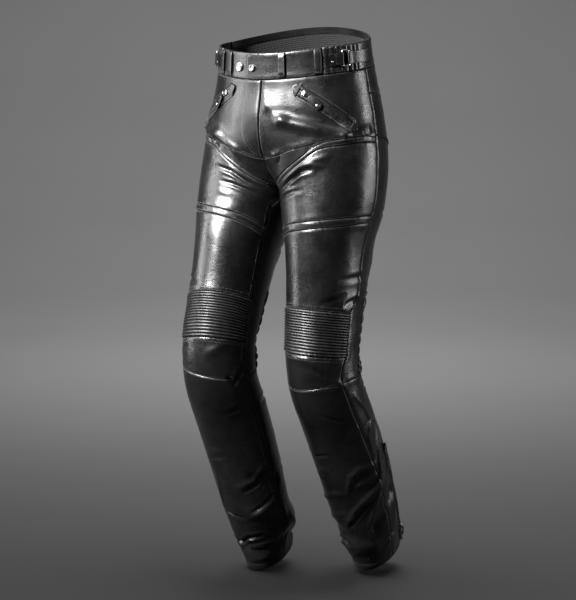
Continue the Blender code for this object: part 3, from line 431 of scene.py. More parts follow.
# Finer ones behind the knee, under the seat and round the back of the shin, alike but not equal on the two legs
BOTH_LEGS_FINE = (
    Crease(((0.56, 0.246), (0.70, 0.236), (0.86, 0.243)), 0.006, -0.0016, SHARP, 0.8),
    Crease(((0.66, 0.302), (0.80, 0.297), (0.93, 0.306)), 0.007, -0.0018, SHARP, 0.8),
    Crease(((0.52, 0.392), (0.66, 0.386), (0.82, 0.394)), 0.007, -0.0022, SHARP, 0.8),
    Crease(((0.63, 0.365), (0.78, 0.358)), 0.008, 0.0014, SOFT, 0.8),
    Crease(((0.56, 0.566), (0.70, 0.572), (0.90, 0.560)), 0.008, -0.0026, SHARP, 0.8),
    Crease(((0.64, 0.612), (0.80, 0.620), (0.98, 0.606)), 0.009, -0.0022, SHARP, 0.8),
    Crease(((0.70, 0.680), (0.84, 0.694)), 0.010, 0.0018, SOFT, 0.8),
    Crease(((0.66, 0.762), (0.82, 0.750), (0.96, 0.764)), 0.008, -0.0022, SHARP, 0.8),
    Crease(((0.64, 0.820), (0.80, 0.838)), 0.008, -0.0020, SHARP, 0.8),
)
LEFT_CREASES = BOTH_LEGS + BOTH_LEGS_FINE + (
    Crease(((0.01, 0.040), (0.09, 0.078)), 0.011, 0.0045),
    Crease(((0.09, 0.078), (0.33, 0.110)), 0.011, 0.0050),
    Crease(((0.33, 0.110), (0.44, 0.102)), 0.010, 0.0035),
    Crease(((0.05, 0.062), (0.30, 0.088)), 0.012, -0.0030),
    Crease(((0.38, 0.785), (0.52, 0.725)), 0.012, 0.0035),
    Crease(((0.36, 0.845), (0.52, 0.795)), 0.012, -0.0040),
    Crease(((0.05, 0.850), (0.24, 0.862)), 0.012, -0.0035),
    Crease(((0.10, 0.893), (0.36, 0.886)), 0.012, 0.0040),
    Crease(((0.62, 0.870), (0.95, 0.850)), 0.014, -0.0045),
    Crease(((0.188, 0.1616), (0.268, 0.1616)), 0.0050, 0.0016, SOFT, 0.7),
    Crease(((0.208, 0.1554), (0.283, 0.1443)), 0.0055, 0.0018, SOFT, 0.7),
    Crease(((0.110, 0.205), (0.135, 0.1925), (0.182, 0.1739), (0.223, 0.1678)), 0.0075, -0.0030, SHARP, 0.7),
    Crease(((0.090, 0.232), (0.150, 0.214), (0.205, 0.206)), 0.0070, -0.0016, SHARP, 0.8),
    Crease(((0.050, 0.147), (0.085, 0.141)), 0.0060, 0.0022, SOFT, 0.8),
    Crease(((0.318, 0.4025), (0.420, 0.384)), 0.0060, -0.0016, SHARP, 0.8),
    Crease(((0.427, 0.4013), (0.473, 0.3926), (0.547, 0.4001)), 0.0070, -0.0030, SHARP, 0.5),
    Crease(((0.400, 0.360), (0.500, 0.352), (0.600, 0.362)), 0.0080, -0.0018, SHARP, 0.8),
    Crease(((0.177, 0.4925), (0.238, 0.4925), (0.273, 0.494), (0.330, 0.5014)), 0.0055, 0.0022, SOFT, 0.6),
    Crease(((0.300, 0.5051), (0.338, 0.5162)), 0.0045, -0.0018, SHARP, 0.6),
    Crease(((0.370, 0.5230), (0.415, 0.5340)), 0.0050, 0.0020, SOFT, 0.7),
    Crease(((0.270, 0.575), (0.340, 0.592), (0.400, 0.596)), 0.0060, -0.0012, SHARP, 0.8),
    Crease(((0.357, 0.6385), (0.388, 0.628), (0.430, 0.622)), 0.0055, 0.0018, SOFT, 0.7),
    Crease(((0.460, 0.560), (0.500, 0.590), (0.515, 0.6249), (0.458, 0.6546), (0.463, 0.6892)),
           0.0055, 0.0022, SOFT, 0.6),
    Crease(((0.547, 0.6472), (0.510, 0.6904), (0.458, 0.7448), (0.390, 0.8004), (0.343, 0.8387), (0.340, 0.8684)),
           0.0060, 0.0030, SOFT, 0.5),
    Crease(((0.593, 0.6700), (0.580, 0.7362), (0.545, 0.800), (0.500, 0.860)), 0.0065, 0.0022, SOFT, 0.7),
    Crease(((0.275, 0.7621), (0.312, 0.725), (0.360, 0.7102), (0.448, 0.7127)), 0.0060, 0.0026, SOFT, 0.5),
    Crease(((0.330, 0.7400), (0.365, 0.7240), (0.430, 0.7220)), 0.0060, -0.0022, SHARP, 0.6),
    Crease(((0.328, 0.7485), (0.438, 0.7337)), 0.0050, 0.0024, SOFT, 0.6),
    Crease(((0.225, 0.8313), (0.323, 0.788), (0.430, 0.7572)), 0.0060, 0.0032, SOFT, 0.4),
    Crease(((0.240, 0.8400), (0.330, 0.8020), (0.410, 0.7780)), 0.0050, -0.0020, SHARP, 0.6),
    Crease(((0.240, 0.8276), (0.290, 0.8152)), 0.0040, 0.0016, SOFT, 0.6),
    Crease(((0.060, 0.694), (0.120, 0.6892), (0.230, 0.6743)), 0.0050, -0.0022, SHARP, 0.7),
    Crease(((0.090, 0.712), (0.160, 0.7139), (0.205, 0.7151)), 0.0040, 0.0014, SOFT, 0.7),
    Crease(((0.080, 0.733), (0.150, 0.7362), (0.190, 0.7420)), 0.0042, -0.0016, SHARP, 0.7),
    Crease(((0.060, 0.796), (0.145, 0.7819), (0.190, 0.7683), (0.247, 0.7658)), 0.0055, 0.0026, SOFT, 0.5),
    Crease(((0.070, 0.836), (0.143, 0.8276), (0.230, 0.8103)), 0.0055, 0.0020, SOFT, 0.6),
    Crease(((0.090, 0.8900), (0.150, 0.8790), (0.210, 0.8830)), 0.0060, -0.0038, SHARP, 0.6),
    Crease(((0.133, 0.9116), (0.288, 0.8957)), 0.0050, 0.0016, SOFT, 0.7),
    Crease(((0.380, 0.9050), (0.460, 0.8840), (0.540, 0.8780)), 0.0060, -0.0018, SHARP, 0.7),
)
RIGHT_CREASES = BOTH_LEGS + BOTH_LEGS_FINE + (
    Crease(((0.28, 0.092), (0.20, 0.110)), 0.011, 0.0035),
    Crease(((0.20, 0.110), (0.12, 0.136)), 0.011, 0.0045),
    Crease(((0.26, 0.125), (0.15, 0.140)), 0.010, -0.0030),
    Crease(((0.03, 0.762), (0.16, 0.745)), 0.013, -0.0035),
    Crease(((0.04, 0.835), (0.22, 0.815)), 0.013, 0.0035),
    Crease(((0.03, 0.895), (0.30, 0.888)), 0.012, -0.0050),
    Crease(((0.80, 0.880), (1.02, 0.862)), 0.022, 0.0080),
    Crease(((0.62, 0.905), (0.98, 0.912)), 0.012, -0.0045),
    Crease(((0.30, 0.112), (0.40, 0.094), (0.46, 0.082)), 0.010, 0.0030, SOFT, 0.4),
    Crease(((0.110, 0.202), (0.160, 0.182), (0.225, 0.172)), 0.0075, -0.0026, SHARP, 0.7),
    Crease(((0.100, 0.226), (0.170, 0.208), (0.215, 0.204)), 0.0070, -0.0014, SHARP, 0.8),
    Crease(((0.180, 0.232), (0.240, 0.226)), 0.0060, 0.0010, SOFT, 0.8),
    Crease(((0.300, 0.402), (0.400, 0.388), (0.480, 0.392)), 0.0060, -0.0016, SHARP, 0.8),
    Crease(((0.430, 0.4020), (0.480, 0.3940), (0.550, 0.4010)), 0.0070, -0.0024, SHARP, 0.5),
    Crease(((0.233, 0.5088), (0.177, 0.5001), (0.140, 0.4927)), 0.0060, 0.0020, SOFT, 0.6),
    Crease(((0.330, 0.4989), (0.400, 0.506)), 0.0050, -0.0014, SHARP, 0.7),
    Crease(((0.138, 0.5385), (0.115, 0.5483), (0.083, 0.5323)), 0.0060, -0.0024, SHARP, 0.5),
    Crease(((0.080, 0.575), (0.120, 0.590), (0.190, 0.596)), 0.0065, -0.0014, SHARP, 0.8),
    Crease(((0.413, 0.7139), (0.345, 0.7020), (0.265, 0.6929)), 0.0065, -0.0013, SHARP, 0.7),
    Crease(((0.350, 0.6840), (0.258, 0.6800)), 0.0045, 0.0014, SOFT, 0.7),
    Crease(((0.233, 0.7584), (0.152, 0.746), (0.098, 0.725)), 0.0055, 0.0026, SOFT, 0.5),
    Crease(((0.220, 0.7700), (0.150, 0.7580), (0.090, 0.7390)), 0.0050, -0.0018, SHARP, 0.6),
    Crease(((0.217, 0.8251), (0.155, 0.8152), (0.072, 0.8016)), 0.0055, 0.0024, SOFT, 0.5),
    Crease(((0.205, 0.8130), (0.150, 0.8040), (0.085, 0.7900)), 0.0050, -0.0018, SHARP, 0.6),
    Crease(((0.400, 0.8170), (0.328, 0.8226), (0.242, 0.8251)), 0.0055, -0.0022, SHARP, 0.6),
    Crease(((0.352, 0.730), (0.378, 0.8004), (0.360, 0.845)), 0.0070, 0.0014, SOFT, 0.8),
    Crease(((0.400, 0.8900), (0.310, 0.8844), (0.253, 0.8684), (0.177, 0.8659)), 0.0060, -0.0034, SHARP, 0.5),
    Crease(((0.255, 0.8906), (0.168, 0.8869), (0.088, 0.8869)), 0.0050, 0.0040, SOFT, 0.4),
    Crease(((0.273, 0.9180), (0.150, 0.9160)), 0.0045, 0.0014, SOFT, 0.6),
    Crease(((0.993, 0.856), (0.950, 0.890), (0.905, 0.925)), 0.0080, 0.0030, SOFT, 0.6),
    Crease(((0.880, 0.840), (0.860, 0.885), (0.830, 0.920)), 0.0070, -0.0024, SHARP, 0.6),
    Crease(((0.560, 0.690), (0.540, 0.760), (0.510, 0.830)), 0.0065, 0.0018, SOFT, 0.7),
)


class Creasing:
    """The creases of one side, as a height above the smooth cloth."""

    mean_girth = 0.50
    fine_half_width = 0.010
    fine_gain = 1.4
    middle_fade = 0.03
    middle_fade_ends = (CROTCH - 0.02, CROTCH)
    sharp_valley = 0.60
    swell = 0.45
    swell_width = 0.5

    def __init__(self, creases: tuple[Crease, ...]) -> None:
        """Keeps the side's creases."""
        self.creases = creases

    def height(self, u: Array, v: Array) -> Array:
        """How far the creases raise the cloth at places on it."""
        total = np.zeros(np.broadcast(u, v).shape)
        for crease in self.creases:
            total = total + self._one(crease, u, v)
        beside = np.minimum(u, np.abs(1 - u))
        above = 1 - smooth(v, *self.middle_fade_ends)
        return total * (1 - above * (1 - smooth(beside, 0.0, self.middle_fade)))

    def _one(self, crease: Crease, u: Array, v: Array) -> Array:
        """The height of one crease. Below the crotch the cloth is a tube, so distances round it wrap."""
        lengths = [0.0]
        for first, second in zip(crease.line, crease.line[1:]):
            run = ((second[0] - first[0]) * self.mean_girth, second[1] - first[1])
            lengths.append(lengths[-1] + float(np.hypot(*run)))
        nearest = np.full(np.broadcast(u, v).shape, 1.0)
        along = np.zeros_like(nearest)
        for k, (first, second) in enumerate(zip(crease.line, crease.line[1:])):
            run = np.array(((second[0] - first[0]) * self.mean_girth, second[1] - first[1]))
            middle = (first[0] + second[0]) / 2
            turns = np.where(v > CROTCH, np.round(u - middle), 0.0)
            a = (u - turns - first[0]) * self.mean_girth
            b = v - first[1]
            share = np.clip((a * run[0] + b * run[1]) / np.dot(run, run), 0, 1)
            off = np.hypot(a - share * run[0], b - share * run[1])
            here = (lengths[k] + share * np.linalg.norm(run)) / lengths[-1]
            along = np.where(off < nearest, here, along)
            nearest = np.minimum(off, nearest)
        x = nearest / crease.half_width
        if crease.form is CreaseForm.SOFT:
            across = np.exp(-(x**2))
        else:
            swell = self.swell * np.exp(-(((x - 1) / self.swell_width) ** 2))
            across = np.exp(-((x / self.sharp_valley) ** 2)) - swell
        gain = self.fine_gain if crease.half_width < self.fine_half_width else 1.0
        return gain * crease.height * across * (1 - crease.taper * (2 * along - 1) ** 2)


class StitchRow(NamedTuple):
    """A row of stitches beside a seam: the seam's lattice index, whether it runs down, its span and its offset."""

    seam: int
    down: bool
    span: tuple[float, float]
    offset: float


def cell_fractions(size: float, start_is_seam: bool, end_is_seam: bool, spacing: float) -> list[float]:
    """Places within one lattice cell, as fractions from 0 up to but without 1, close together beside seams.

    Args:
        size: The cell's real length in metres.
        start_is_seam: Whether a seam runs along the cell's start.
        end_is_seam: Whether a seam runs along the cell's end.
        spacing: The distance between places away from the seams.

    Returns:
        An even number of fractions.
    """
    first = [d / size for d in BESIDE_SEAM] if start_is_seam else []
    last = [1 - d / size for d in reversed(BESIDE_SEAM)] if end_is_seam else []
    low = first[-1] if first else 0.0
    high = last[0] if last else 1.0
    count = 2 * max(1, round((high - low) * size / spacing / 2))
    return [0.0] + first + even(low, high, count)[1:-1] + last


class Cloth:
    """One side of the garment as a fine grid of places on its creased surface.

    columns and rows hold the lattice place of every grid line, and column_start and row_start the grid line of every
    whole lattice place, so a panel's lattice block is cut from the grid exactly.
    """

    spacing = 0.0036
    column_seams = (*(line.value for line in Line), SHIRR_TO, STRETCH_FROM, STRETCH_TO)
    row_seams = tuple(row.value for row in Row)
    knee_ribs = 4
    rib_steps = 8
    shirr_steps = 16
    column_size = 0.024
    crease_fade = (WAIST_TOP, 0.01)
    probe = 0.0008
    seam_steps = 10
    middle_margin = 0.0015

    def __init__(self, side: Side, form: BodyForm, seams: SeamMap, creasing: Creasing) -> None:
        """Works out the grid.

        Args:
            side: The wearer's side.
            form: The filled form of the garment.
            seams: The map of the seams.
            creasing: The side's creases.
        """
        self.side, self.form, self.seams, self.creasing = side, form, seams, creasing
        whole_rows = np.arange(Row.HEM.value + 1.0)
        _, self.row_downs = seams.places(np.full_like(whole_rows, Line.THIGH.value), whole_rows)
        self.columns, self.column_start = self._lines(Line.BACK.value, self._column_fractions)
        self.rows, self.row_start = self._lines(Row.HEM.value, self._row_fractions)
        self.column_grid, self.row_grid = np.meshgrid(self.columns, self.rows, indexing="ij")
        self.u, self.v = seams.places(self.column_grid, self.row_grid)
        bare = form.points(side, self.u, self.v)
        self.normals = self._shared_normals(bare)
        self.points = bare + self.normals * self._crease_height(self.u, self.v)[..., None]

    def _row_fractions(self, k: int) -> list[float]:
        """Where the grid lines lie within lattice row k."""
        if Row.ACCORDION_TOP.value <= k < Row.ACCORDION_LOW.value:
            return even(0, 1, self.knee_ribs * self.rib_steps)[:-1]
        size = float(self.row_downs[k + 1] - self.row_downs[k])
        return cell_fractions(size, k in self.row_seams, k + 1 in self.row_seams, self.spacing)

    def _column_fractions(self, k: int) -> list[float]:
        """Where the grid lines lie within lattice column k."""
        if Line.THIGH.value <= k < SHIRR_TO:
            return even(0, 1, self.shirr_steps)[:-1]
        return cell_fractions(self.column_size, k in self.column_seams, k + 1 in self.column_seams, self.spacing)

    @staticmethod
    def _lines(count: int, fractions: Callable[[int], list[float]]) -> tuple[Array, list[int]]:
        """All grid lines one way, and the index of the line at each whole lattice place."""
        lines: list[float] = []
        starts = []
        for k in range(count):
            starts.append(len(lines))
            lines += [k + share for share in fractions(k)]
        starts.append(len(lines))
        return np.array(lines + [float(count)]), starts

    def _shared_normals(self, points: Array) -> Array:
        """Outward directions at the grid's places, shared across the middle above and the inner seam below."""
        first, right = points[:-1, :-1], points[1:, :-1]
        below, corner = points[:-1, 1:], points[1:, 1:]
        upper = np.cross(corner - first, right - first) * self.side.value
        lower = np.cross(below - first, corner - first) * self.side.value
        normals = np.zeros_like(points)
        normals[:-1, :-1] += upper + lower
        normals[1:, 1:] += upper + lower
        normals[1:, :-1] += upper
        normals[:-1, 1:] += lower
        crotch = self.row_start[Row.BAND_LOW.value]
        normals[[0, -1], :crotch, 0] = 0.0
        normals[[0, -1], crotch:] = normals[0, crotch:] + normals[-1, crotch:]
        return unit(normals)

    def _crease_height(self, u: Array, v: Array) -> Array:
        """How far the creases raise the cloth: not at all at the waist's top, and in full just below the band."""
        return self.creasing.height(u, v) * smooth(v, *self.crease_fade)

    def surface(self, u: Array, v: Array) -> tuple[Array, Array, Array, Array]:
        """The creased cloth at places on it.

        Args:
            u: Shares round the cloth.
            v: Distances below the waist seam.

        Returns:
            The points, the outward directions, and how the bare points move with u and with v.
        """
        step = self.probe
        bare = self.form.points(self.side, u, v)
        above = (v < CROTCH) & (u >= 0) & (u <= 1)
        low = np.where(above, np.clip(u - step, 0, 1), u - step)
        high = np.where(above, np.clip(u + step, 0, 1), u + step)
        by_u = (self.form.points(self.side, high, v) - self.form.points(self.side, low, v)) / (high - low)[..., None]
        by_v = (self.form.points(self.side, u, v + step) - self.form.points(self.side, u, v - step)) / (2 * step)
        normals = unit(np.cross(by_v, by_u)) * self.side.value
        return bare + normals * self._crease_height(u, v)[..., None], normals, by_u, by_v

    def seam_line(self, row: StitchRow) -> tuple[Array, Array]:
        """Where a row of stitches runs beside its seam.

        Args:
            row: The row. Its offset is towards the back beside a seam that runs down, and downward beside others.

        Returns:
            The points and the outward directions along them.
        """
        first, last = row.span
        steps = np.linspace(first, last, int(abs(last - first) * self.seam_steps) + 2)
        fixed = np.full_like(steps, row.seam)
        u, v = self.seams.places(fixed, steps) if row.down else self.seams.places(steps, fixed)
        points, _, by_u, by_v = self.surface(u, v)
        tangent = unit(np.gradient(points, axis=0))
        other = by_u if row.down else by_v
        aside = unit(other - (other * tangent).sum(-1, keepdims=True) * tangent) * row.offset
        uu, uv, vv = (by_u * by_u).sum(-1), (by_u * by_v).sum(-1), (by_v * by_v).sum(-1)
        ua, va = (by_u * aside).sum(-1), (by_v * aside).sum(-1)
        whole = uu * vv - uv**2
        u, v = u + (vv * ua - uv * va) / whole, v + (uu * va - uv * ua) / whole
        u = np.where(v < CROTCH, np.clip(u, self.middle_margin, 1 - self.middle_margin), u)
        moved, normals, _, _ = self.surface(u, v)
        return moved, normals


class Graph:
    """A material's node tree, with a short way to add each kind of node used here."""

    def __init__(self, name: str) -> None:
        """Starts a material with its shader."""
        self.material = bpy.data.materials.new(name)
        self.material.use_nodes = True
        self.tree = self.material.node_tree
        self.shader = self.tree.nodes["Principled BSDF"]
        self.object_place = self.tree.nodes.new("ShaderNodeTexCoord").outputs["Object"]

    def node(self, kind: str, values: dict[str, object] | None = None, **settings: object) -> bpy.types.Node:
        """Adds a node.

        Args:
            kind: The node's type name.
            values: Values or links for its inputs, by name.
            **settings: Properties of the node itself.

        Returns:
            The node.
        """
        made = self.tree.nodes.new(kind)
        for name, value in settings.items():
            setattr(made, name, value)
        for name, value in (values or {}).items():
            self.feed(made.inputs[name], value)
        return made

    def feed(self, socket: bpy.types.NodeSocket, value: object) -> None:
        """Links an output to a socket, or sets the socket's value."""
        if isinstance(value, bpy.types.NodeSocket):
            self.tree.links.new(value, socket)
        else:
            socket.default_value = value

    def noise(self, size: float, detail: float = 2.0, roughness: float = 0.5,
              place: bpy.types.NodeSocket | None = None) -> bpy.types.NodeSocket:
        """Soft noise with lumps of a size in metres, 0 to 1."""
        values = {"Vector": place or self.object_place, "Scale": 1 / size, "Detail": detail, "Roughness": roughness}
        return self.node("ShaderNodeTexNoise", values).outputs["Fac"]

    def drawn(self, *scale: float) -> bpy.types.NodeSocket:
        """Places on the object, with patterns made this many times finer along x, y and z."""
        return self.node("ShaderNodeMapping", {"Scale": scale, "Vector": self.object_place}).outputs["Vector"]

    def cells(self, size: float) -> bpy.types.NodeSocket:
        """Distance from the borders in a pattern of cells of a size in metres."""
        values = {"Vector": self.object_place, "Scale": 1 / size}
        return self.node("ShaderNodeTexVoronoi", values, feature="DISTANCE_TO_EDGE").outputs["Distance"]

    def math(self, operation: str, first: object, second: object = 0.0) -> bpy.types.NodeSocket:
        """Does a sum with two numbers.

        Args:
            operation: The kind of sum, as the node names it.
            first: The first number or link.
            second: The second number or link.

        Returns:
            The result.
        """
        made = self.node("ShaderNodeMath", operation=operation)
        self.feed(made.inputs[0], first)
        self.feed(made.inputs[1], second)
        return made.outputs[0]

    def spread(self, value: bpy.types.NodeSocket, low: float, high: float, to_low: float = 0.0,
               to_high: float = 1.0) -> bpy.types.NodeSocket:
        """Maps a number from one range to another, and holds it there."""
        values = {"Value": value, "From Min": low, "From Max": high, "To Min": to_low, "To Max": to_high}
        return self.node("ShaderNodeMapRange", values).outputs["Result"]

    def blend(self, share: object, first: object, second: object) -> bpy.types.NodeSocket:
        """Mixes two colours.

        Args:
            share: How much of the second colour, from 0 to 1.
            first: The first colour or link.
            second: The second colour or link.

        Returns:
            The mixed colour.
        """
        made = self.node("ShaderNodeMix", data_type="RGBA")
        self.feed(made.inputs[0], share)
        self.feed(made.inputs[6], first)
        self.feed(made.inputs[7], second)
        return made.outputs[2]

    def bump(self, height: bpy.types.NodeSocket, depth: float,
             under: bpy.types.NodeSocket | None = None) -> bpy.types.NodeSocket:
        """Raises the surface's look.

        Args:
            height: The relief, from 0 to 1.
            depth: How deep it is in metres.
            under: Another relief that it lies over, if there is one.

        Returns:
            The bent directions of the surface.
        """
        values: dict[str, object] = {"Height": height, "Distance": depth, "Strength": 1.0}
        if under is not None:
            values["Normal"] = under
        return self.node("ShaderNodeBump", values).outputs["Normal"]

    def attribute(self, name: str) -> bpy.types.NodeSocket:
        """A number stored on the mesh."""
        return self.node("ShaderNodeAttribute", attribute_name=name).outputs["Fac"]

    def shade(self, values: dict[str, object]) -> bpy.types.Material:
        """Sets values or links on the shader, and gives the finished material."""
        for name, value in values.items():
            self.feed(self.shader.inputs[name], value)
        return self.material


Colour = tuple[float, float, float, float]


@dataclass(frozen=True)
class LeatherFinish:
    """Black finished hide: a pebbled grain, fine wrinkles, a satin top coat that is rubbed along its edges."""

    name: str = "black leather"
    colour: Colour = (0.0020, 0.0020, 0.0023, 1)
    faded: Colour = (0.0046, 0.0045, 0.0046, 1)
    worn: Colour = (0.020, 0.019, 0.018, 1)
    roughness: tuple[float, float] = (0.26, 0.36)
    gloss_size: float = 0.030
    cloud_size: float = 0.060
    scuff_size: float = 0.0045
    scuff_colour: float = 0.75
    scuff_roughness: float = 0.16
    grain_size: float = 0.0011
    grain_depth: float = 0.000022
    wrinkle_size: float = 0.0075
    wrinkle_depth: float = 0.00022
    wrinkle_stretch: Place = (0.6, 0.6, 2.2)
    coat: float = 0.06
    coat_roughness: float = 0.30
    shine: float = 0.42

    def make(self) -> bpy.types.Material:
        """The material of this leather."""
        graph = Graph(self.name)
        scuffs = graph.noise(self.scuff_size, 4.0, 0.6)
        wear = graph.math("MULTIPLY", graph.attribute("edge"), graph.spread(scuffs, 0.42, 0.70))
        hide = graph.blend(graph.spread(graph.noise(self.cloud_size, 3.0), 0.35, 0.70), self.colour, self.faded)
        rough = graph.spread(graph.noise(self.gloss_size, 4.0, 0.65), 0.30, 0.72, *self.roughness)
        rough = graph.math("ADD", rough, graph.math("MULTIPLY", wear, self.scuff_roughness))
        wrinkles = graph.noise(self.wrinkle_size, 5.0, 0.62, graph.drawn(*self.wrinkle_stretch))
        pebbles = graph.spread(graph.cells(self.grain_size), 0.0, 0.16)
        return graph.shade({
            "Base Color": graph.blend(graph.math("MULTIPLY", wear, self.scuff_colour), hide, self.worn),
            "Roughness": graph.math("ADD", rough, graph.spread(scuffs, 0.3, 0.7, -0.04, 0.05)),
            "Normal": graph.bump(pebbles, self.grain_depth, graph.bump(wrinkles, self.wrinkle_depth)),
            "Specular IOR Level": self.shine,
            "Coat Weight": self.coat,
            "Coat Roughness": self.coat_roughness,
        })


@dataclass(frozen=True)
class ThreadFinish:
    """Bonded black thread with a twist."""

    name: str = "black thread"
    colour: Colour = (0.020, 0.020, 0.021, 1)
    light: Colour = (0.050, 0.050, 0.052, 1)
    roughness: tuple[float, float] = (0.40, 0.62)
    shade_size: float = 0.012
    twist_size: float = 0.0006
    twist_depth: float = 0.00008
    sheen: float = 0.2

    def make(self) -> bpy.types.Material:
        """The material of this thread."""
        graph = Graph(self.name)
        twist = graph.noise(self.twist_size)
        return graph.shade({
            "Base Color": graph.blend(graph.spread(graph.noise(self.shade_size), 0.3, 0.7), self.colour, self.light),
            "Roughness": graph.spread(twist, 0.3, 0.7, *self.roughness),
            "Normal": graph.bump(twist, self.twist_depth),
            "Sheen Weight": self.sheen,
        })


class Finish(Enum):
    """The finishes, each with its slot in the record."""

    LEATHER = "leather"
    STRETCH = "stretch_leather"
    MESH = "mesh"
    ZIP_CLOTH = "zip_cloth"
    METAL = "dark_metal"


class Make(NamedTuple):
    """What a piece is made of: its material, and its slot in the record."""

    material: bpy.types.Material
    slot: Finish


def add_piece(name: str, mesh: bpy.types.Mesh, make: Make, body: str = TRUNK_BODY,
              sharp: float = 60.0) -> bpy.types.Object:
    """Adds a piece to the scene.

    Args:
        name: The piece's name.
        mesh: Its mesh, in the shared frame.
        make: Its material and slot.
        body: The body that it rides on.
        sharp: Edges turned by more than this many degrees stay sharp.

    Returns:
        The piece.
    """
    mesh.materials.append(make.material)
    mesh.shade_smooth()
    mesh.set_sharp_from_angle(angle=radians(sharp))
    made = bpy.data.objects.new(name, mesh)
    bpy.context.scene.collection.objects.link(made)
    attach(made, body)
    LOG.info("%s: %d faces", name, len(mesh.polygons))
    return made


class Ribs(NamedTuple):
    """Ribs sewn in a panel: how many to a lattice cell, their height, and whether they run down the garment."""

    a_cell: int
    height: float
    upright: bool = False


@dataclass(frozen=True)
class Relief:
    """How a panel's face rises and falls beside its seams, by distance from the edge, in metres."""

    distances: tuple[float, ...] = (0.0, 0.0009, 0.0018, 0.0030, 0.0048, 0.0085, 0.0130)
    heights: tuple[float, ...] = (-0.0010, -0.00025, 0.00005, 0.00030, 0.00045, 0.00022, 0.0)
    pucker: float = 0.00030
    pucker_size: float = 0.0060
    pucker_reach: float = 0.0150
    wave: float = 0.00045
    wave_size: float = 0.050
    dimple: float = 0.00012
    dimple_size: float = 0.021
    deepest: float = 0.0011
    rolled: float = 0.0015
    pucker_from: float = 0.002
    wave_from: float = 0.012

    def height(self, points: Array, distance: Array) -> Array:
        """How far the face rises.

        Args:
            points: The face's plain points.
            distance: Each point's distance from the panel's edge.

        Returns:
            The rise at each point, in metres.
        """
        edge = np.interp(distance, self.distances, self.heights)
        near = 1 - smooth(distance, self.rolled, self.pucker_reach)
        puckers = self.pucker * near * field_noise(points, self.pucker_size, 1.3)
        waves = self.wave * field_noise(points, self.wave_size, 4.7)
        dimples = self.dimple * field_noise(points, self.dimple_size, 9.1)
        puckers = puckers * smooth(distance, 0.0, self.pucker_from)
        return edge + puckers + smooth(distance, 0.0, self.wave_from) * (waves + dimples)


def field_noise(points: Array, size: float, phase: float) -> Array:
    """A smooth uneven field with values between -1 and 1: waves of several lengths that run several ways.

    Args:
        points: Where to read it.
        size: About how long its swells are, in metres.
        phase: A number that sets one field apart from another.

    Returns:
        The field at each point.
    """
    waves, turn_step, tilt, longest, shorter, calm = 7, 2.4, 1.9, 0.55, 0.11, 3.4
    total = np.zeros(points.shape[:-1])
    for k in range(waves):
        turn = phase + turn_step * k
        way = np.array((cos(turn), sin(turn) * cos(tilt * turn), sin(turn) * sin(tilt * turn)))
        total += np.sin(points @ way * (2 * pi / size * (longest + shorter * k)) + 5 * turn)
    return np.tanh(total / calm)


@dataclass
class Grid:
    """A fine grid of points on a surface, with their outward directions, and the sign of its winding."""

    points: Array
    normals: Array
    winding: int


